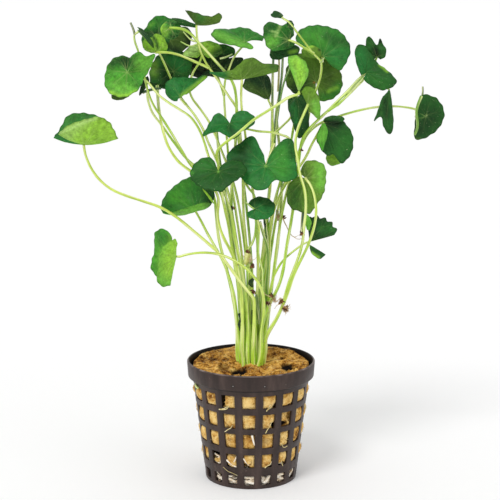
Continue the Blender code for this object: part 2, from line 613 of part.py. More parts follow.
          (18.5, 132.5, 1), (17.4, 141, 5), (15.2, 143.4, 6), (11.7, 141.6, 5.5), (8, 137, 3.4)], dome=0.6),
    Leaf("leaf_small_dark", (1.6, 114.3, -9.5),
         [(-1.7, 112.7, -1), (-1.2, 111, -1.5), (1.5, 109.8, -2), (5, 109.7, -2), (8.2, 110.9, -1.5),
          (9.7, 113.4, -0.5), (9.9, 115.6, 0.5), (8.6, 117.8, 1.5), (5.6, 119.1, 2.5), (3, 119.3, 2.5),
          (0.4, 118.3, 2), (-1.4, 116.3, 1)], dome=0.5),
    Leaf("leaf_light_right", (22.2, 126.9, -8),
         [(19.9, 129, 1), (21, 132.4, 1), (22.8, 134.2, 1), (25.8, 134.3, 1), (29, 133, 0.5), (30.6, 130, 0),
          (30.4, 124, -1), (29.4, 120, -1), (26.8, 115.8, -1), (24, 112.2, -0.5), (20.5, 112.9, 0),
          (16.5, 114.2, 1), (14.6, 117.5, 2), (14.6, 122.3, 2), (16.3, 125.8, 1.5), (19.3, 127.7, 1)],
         dome=-0.6),
    Leaf("leaf_scalloped", (23.9, 100.8, -6),
         [(32.2, 102.9, 0), (35.4, 104.4, 0), (34.3, 107.5, 1),
          (32, 109.8, 2), (28.5, 111.3, 2), (24.6, 111.7, 2), (22.9, 109.5, 1)], dome=0.4),
]
LEAF = {leaf.name: leaf for leaf in LEAVES}


def plant_stems():
    return [
        Stem("stalk_low_left", (3.65, -4.9),
             [(4.2, 60, -5.5), (5.2, 70, -7), (5.3, 76, -8.5), (4.2, 81, -10), (2, 85, -11), (-1.4, 89, -12),
              (-5.4, 92, -13), (-10, 94.4, -14), (-15, 95.8, -15), (-20.5, 96.1, -16), (-26, 95.4, -16.5)],
             to="leaf_low_left", thick=(1.9, 1.3)),
        Stem("stalk_far_left", (1.2, -4.9),
             [(1.1, 60, -5.5), (1.4, 70, -7), (1.2, 76.6, -8), (-1.4, 80.2, -8.5), (-5.4, 85.4, -9.5),
              (-9.4, 91, -10), (-13.2, 95.9, -10.5), (-18, 100.4, -11.5), (-24, 105.6, -13), (-30, 110.6, -14),
              (-36.6, 114.8, -15), (-44, 117.5, -16), (-50.6, 119.7, -17), (-56.5, 122.3, -18),
              (-61.5, 126.4, -18), (-65, 131.6, -18), (-66.9, 136.6, -18)],
             to="leaf_far_left", thick=(2.0, 1.4)),
        Stem("stalk_left", (-5, -2.45),
             [(-5.4, 60, -3), (-6, 70, -3.5), (-7, 78, -4), (-9, 86, -5), (-11.7, 93, -5), (-14.6, 98.4, -5),
              (-17.6, 103.8, -5), (-20.2, 109, -5.5)],
             to="leaf_left_hand", thick=(1.9, 1.4)),
        Stem("shoot_left_bow", (-3.7, -4.9),
             [(-3.6, 60, -5.5), (-3.5, 70, -6), (-3.9, 80, -6.5), (-5.6, 90, -7.5), (-8.4, 97, -8.5),
              (-11.2, 102.4, -9), (-13.1, 108, -9.5), (-13.6, 113, -9.5), (-13.2, 118, -9.3),
              (-15, 122.6, -9), (-19.4, 126.4, -9), (-24.4, 129.8, -8), (-29.4, 133.8, -7),
              (-33.2, 139.6, -6), (-35.2, 145.6, -4), (-36.4, 151.6, 0), (-37.2, 158, 4),
              (-37.6, 163.5, 8), (-35, 168, 10)],
             to="leaf_back_left", thick=(1.9, 1.4)),
        Stem("shoot_left_tall", (-6.2, 0),
             [(-5.8, 60, 0), (-6.2, 70, -0.5), (-7.9, 80, -1), (-10.2, 90, -2), (-12.3, 98, -3),
              (-13.6, 105, -2.5), (-14.2, 112, 0), (-15, 119, 1), (-19, 126, 1.5), (-24.4, 132.4, 0),
              (-28, 138.2, -2), (-31.6, 144.4, -3), (-35.4, 150.6, -3), (-39.4, 157, -4), (-41.6, 163, -6),
              (-43, 170, -8), (-44.8, 177.5, -8.5), (-46.4, 182.4, -9.4),
              (-46.3, 185.4, -10)],
             to="leaf_thin_edge", thick=(2.1, 1.1)),
        Stem("shoot_left_back", (-5, 2.45),
             [(-4.4, 60, 3), (-4.6, 72, 3), (-5.6, 84, 3), (-7.4, 95, 3), (-8.8, 105, 3), (-10.4, 114, 3),
              (-13, 122, 3), (-18.6, 128.6, 3), (-25.6, 134.4, 3), (-31, 141.4, 3), (-35.6, 148, 3),
              (-39.8, 153.8, 3), (-41.6, 160, 2), (-41.6, 163.4, 0.5)],
             to="leaf_dark_sliver", thick=(1.9, 1.3)),
        Stem("shoot_left_slant", (-1.25, -4.9),
             [(-1.4, 60, -5), (-1.6, 70, -5), (-2.4, 80, -5.5), (-4, 90, -6), (-6, 100, -6.5), (-8, 110, -7),
              (-10.8, 119, -7), (-14, 128, -6), (-17, 135.4, -6), (-18.8, 141.4, -6), (-20.8, 146.6, -6),
              (-24.2, 151.6, -6), (-28.4, 154.6, -7), (-33, 157.5, -8), (-37.2, 160.8, -9),
              (-41.6, 166, -10), (-45.6, 168.6, -10)],
             to="leaf_big_left", thick=(1.8, 1.2)),
        Stem("shoot_heart", (-3.7, 0),
             [(-2.9, 60, 0.5), (-2.8, 72, 0.5), (-3.4, 84, 0.5), (-5.2, 96, 0.5), (-7, 108, 0.5),
              (-9, 120, 0.5), (-13, 132, 0), (-17.2, 141.4, -1), (-19.6, 147.4, -2), (-23, 153, -2),
              (-26.4, 157.2, -1), (-29.6, 162, 1), (-32.2, 167.6, 2), (-34, 171.8, 2), (-35.8, 175.8, 1.5),
              (-37.4, 179, 4)],
             to="leaf_top_left", thick=(1.8, 1.2),
             stalks=[((-26.4, 157.2, -1), [(-27.4, 158.2, -2)], "leaf_heart", 1.2)]),
        Stem("shoot_mottled", (-1.25, 0),
             [(-0.8, 60, 0.5), (-0.6, 74, 1), (-1.4, 88, 1), (-2.9, 102, 1.5), (-5, 116, 2), (-8, 128, 2.5),
              (-12, 138.4, 3), (-14.2, 144, 3), (-17, 150, 3), (-20.4, 155, 4), (-23.6, 159.4, 5),
              (-24.8, 164, 5), (-23.2, 169.5, 3), (-20.4, 174, 1.6)],
             to="leaf_mottled", thick=(1.8, 1.2)),
        Stem("shoot_saddle", (2.5, -2.45),
             [(1.8, 60, -2), (1, 72, -1.5), (-0.2, 84, -1), (-1.6, 96, 0), (-2.8, 108, 0), (-3.2, 120, 0),
              (-3.4, 132, 0), (-4, 144, 0), (-5.4, 154.4, -1), (-8.4, 159.4, -2), (-11.4, 163.8, -3),
              (-14.4, 168.2, -4), (-17, 171.9, -4), (-18.6, 174.6, -4.5), (-20.2, 178.2, -6),
              (-21.3, 182.2, -7), (-21.6, 185.5, -7.5)],
             to="leaf_saddle", thick=(1.9, 1.2),
             stalks=[((-17, 171.9, -4), [(-20.5, 173.2, -4.5), (-24.5, 174.9, -5.5), (-29, 176.7, -6.5),
                                         (-33.5, 177.6, -7.5)], "leaf_light_pair", 1.3)]),
        Stem("shoot_round", (0, -2.45),
             [(-0.2, 60, -2.5), (-1.4, 72, -2.5), (-3.2, 84, -2), (-5.4, 96, -2), (-7.6, 108, -2),
              (-8, 120, -1), (-7, 132, 0), (-6, 144, -0.5), (-5.6, 156, -2), (-6.4, 163, -3),
              (-8.2, 167.2, -3.5), (-10.2, 169.7, -5), (-13, 172.8, -7), (-16.6, 176.8, -8.5),
              (-20.4, 181, -10), (-23.4, 184.4, -11), (-26, 186.3, -11.5), (-28.6, 187.1, -11.8)],
             to="leaf_round_under", thick=(2.0, 1.5)),
        Stem("shoot_crest", (-2.5, 2.45),
             [(-2, 60, 3), (-2.2, 74, 4), (-3, 88, 4), (-4.6, 102, 4), (-6.6, 116, 4), (-8.6, 130, 4),
              (-9.8, 144, 4), (-10.4, 153, 4), (-10.8, 161, 4), (-10.2, 167, 4), (-8.8, 171, 4),
              (-6.6, 176, 4.5)],
             to="leaf_crest", thick=(1.8, 1.1),
             stalks=[((-10.8, 161, 4), [(-12.4, 165.6, 8), (-13.6, 168.7, 11.5)], "leaf_back_middle", 1.2)]),
        Stem("shoot_wide", (1.2, 0),
             [(1.4, 60, 0), (2.2, 72, 0), (2.8, 84, 0), (2.8, 96, 0), (2.2, 108, 1), (1, 120, 2),
              (-0.6, 132, 2), (-2.6, 144, 1), (-4, 154, -2), (-4, 161, -4.5)],
             to="leaf_wide_curl", thick=(1.9, 1.3),
             stalks=[((2.8, 96, 0), [(3.1, 102, -3), (3.2, 107.5, -7)], "leaf_small_dark", 1.2)]),
        Stem("shoot_arch", (-2.5, -2.45),
             [(-2.8, 60, -3), (-3.8, 72, -3.5), (-5.4, 84, -4), (-7.4, 96, -5), (-9, 108, -6),
              (-10.8, 118, -7), (-12.6, 127, -8.5), (-13.2, 132.5, -10.5), (-13.9, 137, -12.5),
              (-12.2, 139.8, -14), (-9, 142.4, -14.5), (-5.6, 144.9, -15), (-2.4, 147.7, -15), (1, 150.6, -14.5),
              (6, 153.8, -13.5), (11, 157, -13), (15.2, 159.7, -12.5)],
             to="leaf_light_folded", thick=(1.8, 1.5),
             stalks=[((-13.2, 132.5, -10.5), [(-13.2, 130.6, -11.6)], "leaf_kidney_left", 1.3)]),
        Stem("shoot_fork_right", (5, -2.45),
             [(5.6, 57, -3), (7.2, 61.6, -4), (9.4, 66, -5), (11.6, 70.6, -6), (13.2, 74.4, -6.5),
              (15.4, 80, -8), (17.6, 86.8, -9), (20.2, 92.6, -10), (22.8, 98, -12), (24.8, 103.4, -14),
              (26, 108, -15), (26.5, 112.2, -15), (26.3, 116.6, -14), (25.5, 120.6, -13), (24, 124.2, -11)],
             to="leaf_light_right", thick=(2.0, 1.4),
             stalks=[((13.2, 74.4, -6.5),
                      [(14.4, 79.6, -5.5), (16.1, 85, -5.5), (18, 90.2, -6), (20, 96, -8), (21.2, 101.4, -10),
                       (21.6, 106.6, -12), (22.2, 112, -13), (22.3, 118, -13.5), (21.6, 122.8, -14),
                       (20.3, 127, -14.5), (19.4, 130.8, -14), (18.9, 134.6, -13), (18.2, 138, -12),
                       (17.9, 141.6, -11.5), (18.5, 145.6, -11), (19.8, 149.6, -10.5),
                       (21.3, 153.2, -9.5)], "leaf_under_right", 1.5)]),
        Stem("shoot_middle", (2.5, 2.45),
             [(2.8, 60, 3), (4, 72, 4), (5.6, 84, 5), (7, 96, 6), (8.6, 108, 7), (10.6, 120, 8),
              (13.4, 130, 7), (16.4, 137.4, 5), (15.6, 142.8, 3), (12, 144.6, 1.5), (8, 145.6, 0),
              (3, 146, -1.5), (-2, 147, -3)],
             to="leaf_heart_middle", thick=(1.9, 1.2)),
        Stem("shoot_kidney", (3.65, 0),
             [(4, 60, -0.5), (5.4, 68, -1), (7.6, 74.6, -1.5), (9.8, 78.8, -2), (11.8, 83.4, -2.5),
              (13.4, 89, -2.5), (14.6, 95, -2.5), (15.4, 101, -2.5), (16.2, 107.4, -2), (17, 113.4, -1),
              (18, 122, 0), (19, 130, 0), (19.8, 138, 0), (20.8, 142.6, 0), (23, 146.4, 0),
              (26.6, 150.2, 0), (30.4, 153.8, 1), (34.6, 158, 3), (38.8, 162.2, 5), (42.4, 166.2, 7)],
             to="leaf_kidney", thick=(2.0, 1.5),
             stalks=[((30.4, 153.8, 1),
                      [(34.4, 156.4, 2), (38.6, 160.2, 4), (42.4, 164, 7), (45.6, 167.4, 9.5),
                       (48.6, 172, 11.5)], "leaf_curly", 1.2),
                     ((42.4, 166.2, 7),
                      [(46, 167, 9), (50, 166.3, 9), (54, 164.4, 7)], "leaf_narrow_hanging", 1.0)]),
        Stem("shoot_far_right", (6.1, 0),
             [(5.6, 60, 0), (6.6, 70, 0), (7.8, 79, 0), (9.2, 86, 0), (9.8, 92, 0.5), (10.8, 100, 1),
              (12.2, 110, 2), (14.2, 120, 3), (17, 130, 4), (19.6, 138, 4), (22, 143.6, 4),
              (25, 147.2, 4.5), (28.6, 149.6, 5.5), (33, 151.3, 6.5), (38, 152.9, 7), (43.4, 154.4, 7.5),
              (49.4, 155.6, 8), (56, 156.1, 8), (62, 155.7, 8), (66.5, 154.7, 8)],
             to="leaf_far_right", thick=(2.0, 1.2),
             stalks=[((9.2, 86, 0), [(12.2, 91.8, -1), (15.4, 95.4, -3), (18.8, 98, -4), (21.4, 99.8, -5)],
                      "leaf_scalloped", 1.1)]),
        Stem("shoot_right_round", (5, 2.45),
             [(5, 60, 3), (5.9, 72, 3.5), (6.8, 84, 4), (7.3, 94, 4.5), (7.2, 102, 5), (8, 110, 6),
              (10.6, 118, 7), (15, 126, 7), (19.6, 131.6, 5.5), (22.4, 136, 4), (24.6, 140.8, 3),
              (26.4, 144, 4), (28, 147, 3.5)],
             to="leaf_right_round", thick=(2.0, 1.4)),
        Stem("shoot_pale_tall", (0, 2.45),
             [(0.6, 60, 3.5), (1.8, 72, 4), (3.4, 84, 4.5), (5.2, 96, 5), (6.6, 108, 5.5), (7.6, 120, 6),
              (8.4, 132, 6), (8.8, 144, 6.5), (8.6, 152, 7), (8.3, 155.5, 5.5)],
             to="leaf_dark_middle", thick=(2.0, 1.3),
             stalks=[((8.8, 144, 6.5), [(8.6, 140.4, 2), (7.6, 136.2, -4), (6.8, 133.6, -7.5)],
                      "leaf_kidney_middle", 1.4),
                     ((8.8, 144, 6.5), [(12.6, 147.8, 8), (16.5, 152.5, 7)], "leaf_dark_hanging", 1.2)]),
        Stem("shoot_crinkled", (3.65, 4.9),
             [(3.6, 60, 5.5), (4.8, 72, 6), (6.2, 84, 6.5), (7.8, 96, 7), (9.6, 108, 8), (12, 120, 9),
              (15.6, 130, 9), (19.4, 138, 8), (21.8, 145, 7), (23, 151, 6), (24.2, 157, 5),
              (26, 162.4, 4), (27.6, 167.2, 2), (28.1, 171, 0), (27.9, 174, -1), (25, 177, -3),
              (21.8, 181, -5), (17.8, 186.2, -7.5), (15, 189.6, -8)],
             to="leaf_tip", thick=(2.0, 1.1),
             stalks=[((25, 177, -3), [(20.6, 179.8, -5.5), (17.6, 181.6, -6.5)], "leaf_crinkled", 1.2),
                     ((27.9, 174, -1), [(28.5, 173.8, 1.5)], "leaf_big_round", 1.3)]),
        Stem("shoot_big_dark", (1.2, 4.9),
             [(1.6, 60, 6), (3, 74, 7), (4.8, 88, 8), (6.8, 102, 9), (9.4, 116, 10), (12.6, 128, 11),
              (15.8, 140, 11), (18, 152, 12), (21.4, 160, 13)],
             to="leaf_big_dark", thick=(1.9, 1.3)),
    ]


def main():
    for old in list(bpy.data.objects):
        bpy.data.objects.remove(old, do_unlink=True)
    make_pot(material("dark_pot_plastic", (0.069, 0.054, 0.061), 0.42))
    make_plug(material("rockwool", (0.42, 0.23, 0.06), 0.95))
    make_roots(material("white_roots", (0.72, 0.66, 0.5), 0.7))
    blade = material("cress_leaf", (0.045, 0.16, 0.04), 0.45)
    stalk = material("cress_stem", (0.33, 0.5, 0.1), 0.4)
    for leaf in LEAVES:
        make_leaf(leaf, blade)
    stems = plant_stems()
    ease_apart(stems)
    for stem in stems:
        make_stem(stem, stalk)


main()
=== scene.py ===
"""The looks of the potted japanese cress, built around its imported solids.

Lengths are in millimetres until a mesh is made, and the frame is the part's own: metres, +Z up,
the origin at the centre of the pot's underside and -Y to the front.
"""

import math

import bpy
import numpy as np
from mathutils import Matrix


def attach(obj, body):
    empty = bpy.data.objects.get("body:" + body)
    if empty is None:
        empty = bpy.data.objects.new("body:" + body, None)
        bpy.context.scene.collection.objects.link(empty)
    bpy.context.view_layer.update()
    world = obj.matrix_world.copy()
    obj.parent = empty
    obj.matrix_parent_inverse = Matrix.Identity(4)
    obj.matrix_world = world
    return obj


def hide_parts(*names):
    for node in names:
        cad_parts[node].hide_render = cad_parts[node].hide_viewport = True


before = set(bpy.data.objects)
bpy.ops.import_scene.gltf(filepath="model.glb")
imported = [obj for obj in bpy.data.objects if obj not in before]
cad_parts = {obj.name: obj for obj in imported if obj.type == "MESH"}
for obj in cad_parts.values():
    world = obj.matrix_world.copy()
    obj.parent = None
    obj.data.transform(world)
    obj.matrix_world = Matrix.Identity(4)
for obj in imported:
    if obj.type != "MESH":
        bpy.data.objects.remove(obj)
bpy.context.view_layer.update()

MM = 0.001
GAP = 0.3

# Sizes shared with the part's source
RIM_DIAMETER = 53.0
POT_HEIGHT = 50.0
RIM_BAND = 7.2
RIM_WALL = 0.9
SHOULDER = 0.8
WALL = 1.0
WALL_TOP_RADIUS = 24.2
BASE_RADIUS = 18.9
FLOOR = 1.2
COLUMNS = 17
BAR_WIDTH = 3.05
FIRST_BAR = math.radians(-81.6)
WINDOW_ROWS = ((1.6, 5.7), (9.4, 15.1), (17.9, 24.1), (26.5, 32.6), (35.3, 40.7))
PLUG_TOP = 48.6
PLUG_BOTTOM = 12.4
WELL_FLOOR = 42.6
EYE = np.array([-0.4, -620.0, 220.0])
GROUND_READS = 1.1
STEM_GAP = 0.65
SAMPLE = 2.5
BLADE = 0.6

# Worked out from them
RIM_RADIUS = RIM_DIAMETER / 2
BAND_BOTTOM = POT_HEIGHT - RIM_BAND
SECTOR = 2 * math.pi / COLUMNS

# Finer sizes of the visible surfaces
VEIN_REACH = 7.5
MOST_VEINS = 9
SPOKES_PER_VEIN = 14
BLADE_ROWS = 15
BLADE_THICK = 0.42
TOOTH = 0.17
STEM_SIDES = 12
SHOOT_SIDES = 10
ROOT_SIDES = 8
ROOTLET_SIDES = 6
HAIR_SIDES = 4
STEM_STEP = 0.9
CURVE_STEP = 0.12
MOULD_DOTS = (-7.2, 5.5)
DOT_RADIUS = 26.24
DOT_HEIGHT = 45.6
SEAM = 0.02
EDGE_ROUND = 0.22
FLOOR_REACH = 60000


def seen(across, up, behind):
    """The point that looks to be at (across, up) from the front, and lies this far behind."""
    on_plane = np.array([across, 0.0, up])
    point = EYE + (on_plane - EYE) * (behind - EYE[1]) / -EYE[1]
    return point - [0.0, 0.0, GROUND_READS]


def front_view(points):
    """Where points look to be from the front, as (across, up)."""
    raised = np.asarray(points) + [0.0, 0.0, GROUND_READS]
    share = -EYE[1] / (raised[..., 1] - EYE[1])
    on_plane = EYE + (raised - EYE) * share[..., None]
    return on_plane[..., [0, 2]]


def unit(vector):
    return vector / np.linalg.norm(vector)


def smooth_step(share):
    return share * share * (3 - 2 * share)


def wall_radius(z):
    """The outer radius of the pot's tapered wall at this height."""
    return BASE_RADIUS + (WALL_TOP_RADIUS - BASE_RADIUS) * (z / BAND_BOTTOM)


def turned(radius, angle, z):
    """Points at these radii, angles and heights about the pot's axis."""
    return np.stack([radius * np.cos(angle), radius * np.sin(angle), z], axis=-1)


# Curves


def travelled(line):
    """How far along a line of points each one is."""
    steps = np.linalg.norm(np.diff(line, axis=0), axis=1)
    return np.concatenate([[0], np.cumsum(steps)])


def evenly(line, count):
    """This many points at even steps along a line of close points, and the line's length."""
    reached = travelled(line)
    stops = np.linspace(0, reached[-1], count)
    return np.stack([np.interp(stops, reached, line[:, axis]) for axis in range(3)], axis=1), reached[-1]


def smooth_route(points, spacing):
    """Points at this spacing along a smooth curve through the given ones."""
    points = np.asarray(points, float)
    ends = np.vstack([2 * points[0] - points[1], points, 2 * points[-1] - points[-2]])
    curve = [points[0]]
    for p0, p1, p2, p3 in zip(ends, ends[1:], ends[2:], ends[3:]):
        for t in np.linspace(0, 1, 13)[1:]:
            curve.append(0.5 * (2 * p1 + (p2 - p0) * t + (2 * p0 - 5 * p1 + 4 * p2 - p3) * t ** 2
                                + (3 * p1 - p0 - 3 * p2 + p3) * t ** 3))
    curve = np.array(curve)
    return evenly(curve, max(3, round(travelled(curve)[-1] / spacing) + 1))[0]


def even_curve(points, count):
    """This many evenly spaced points along a smooth curve through the given ones, and its length."""
    return evenly(smooth_route(points, CURVE_STEP), count)


def seen_curve(route, count):
    """This many points along the route that is seen from the front."""
    return even_curve([seen(*place) for place in route], count)[0]


def value_noise(points, size, seed):
    """Smooth noise from -1 to 1 at points in mm, with lumps about this size across."""
    side = 24
    lattice = np.random.default_rng(seed).uniform(-1, 1, (side, side, side))
    place = np.asarray(points) / size + 100.0
    cell = np.floor(place).astype(int)
    share = smooth_step(place - cell)
    total = 0.0
    for corner in np.ndindex(2, 2, 2):
        weight = np.prod(np.where(corner, share, 1 - share), axis=-1)
        ids = (cell + corner) % side
        total = total + weight * lattice[ids[..., 0], ids[..., 1], ids[..., 2]]
    return total


# Colours


def srgb(red, green, blue):
    """An eight-bit display colour as the linear colour that shaders take."""
    return tuple(
        c / 12.92 if c <= 0.04045 else ((c + 0.055) / 1.055) ** 2.4
        for c in (red / 255, green / 255, blue / 255)
    )


# The black and shadow tones are painted shade: they darken blades, spots and gaps where other blades shade
# them.
TONES = {
    "black": srgb(10, 24, 12),
    "shadow": srgb(16, 42, 18),
    "deep": srgb(24, 64, 26),
    "dark": srgb(30, 78, 28),
    "teal": srgb(32, 102, 44),
    "mid": srgb(42, 106, 36),
    "fresh": srgb(66, 136, 40),
    "light": srgb(98, 162, 56),
    "shade": srgb(58, 84, 30),
    "olive": srgb(88, 124, 40),
    "leafy": srgb(110, 156, 46),
    "pale": srgb(136, 184, 56),
    "bright": srgb(162, 206, 70),
    "silver": srgb(164, 198, 114),
    "rust": srgb(150, 84, 34),
    "straw": srgb(176, 164, 112),
    "cream": srgb(206, 214, 128),
    "sheath": srgb(190, 190, 92),
}


# Leaves: each blade as in the part's source, and its looks


class Leaf:
    """One blade: the hub where its stalk meets it, and its rim from one side of its notch
    to the other, anticlockwise as its upper face is seen.

    A rim point is as seen from the front, (across, up), and how far behind the hub it is,
    unless it is level with the hub. dome raises the blade half-way out, towards the upper
    face, or the underside if negative.

    upper and under are the tones of its two faces. A spot of another tone is (tone, reach,
    strength, points): it fades out at the reach, in mm, from the line through the points, which
    are as seen from the front. A fifth item, "upper" or "under", keeps it to that face. The
    tones and spots mix the blade's own colour with painted light and shade: the darkest are
    painted shade where blades in front shade it, and some pale spots are painted highlights.
    veins scales how clear the veins are, crinkle is how far the tissue buckles, in mm, and teeth
    scales the notches of the rim.
    """

    def __init__(self, name, hub, upper, under, rim, spots=(), dome=0.0, veins=1.0, crinkle=0.12, teeth=1.0):
        self.name = name
        self.hub = seen(*hub)
        self.rim = np.array([seen(across, up, hub[2] + sum(behind)) for across, up, *behind in rim])
        arms = self.rim - self.hub
        self.face = unit(np.cross(arms[:-1], arms[1:]).sum(axis=0))
        self.tones = {"upper": upper, "under": under}
        self.spots = spots
        self.dome = dome
        self.veins = veins
        self.crinkle = crinkle
        self.teeth = teeth

    def stalk_end(self, stalk_radius):
        """Where its stalk stops: just under the blade at the hub."""
        return self.hub - self.face * (BLADE / 2 + GAP + stalk_radius)


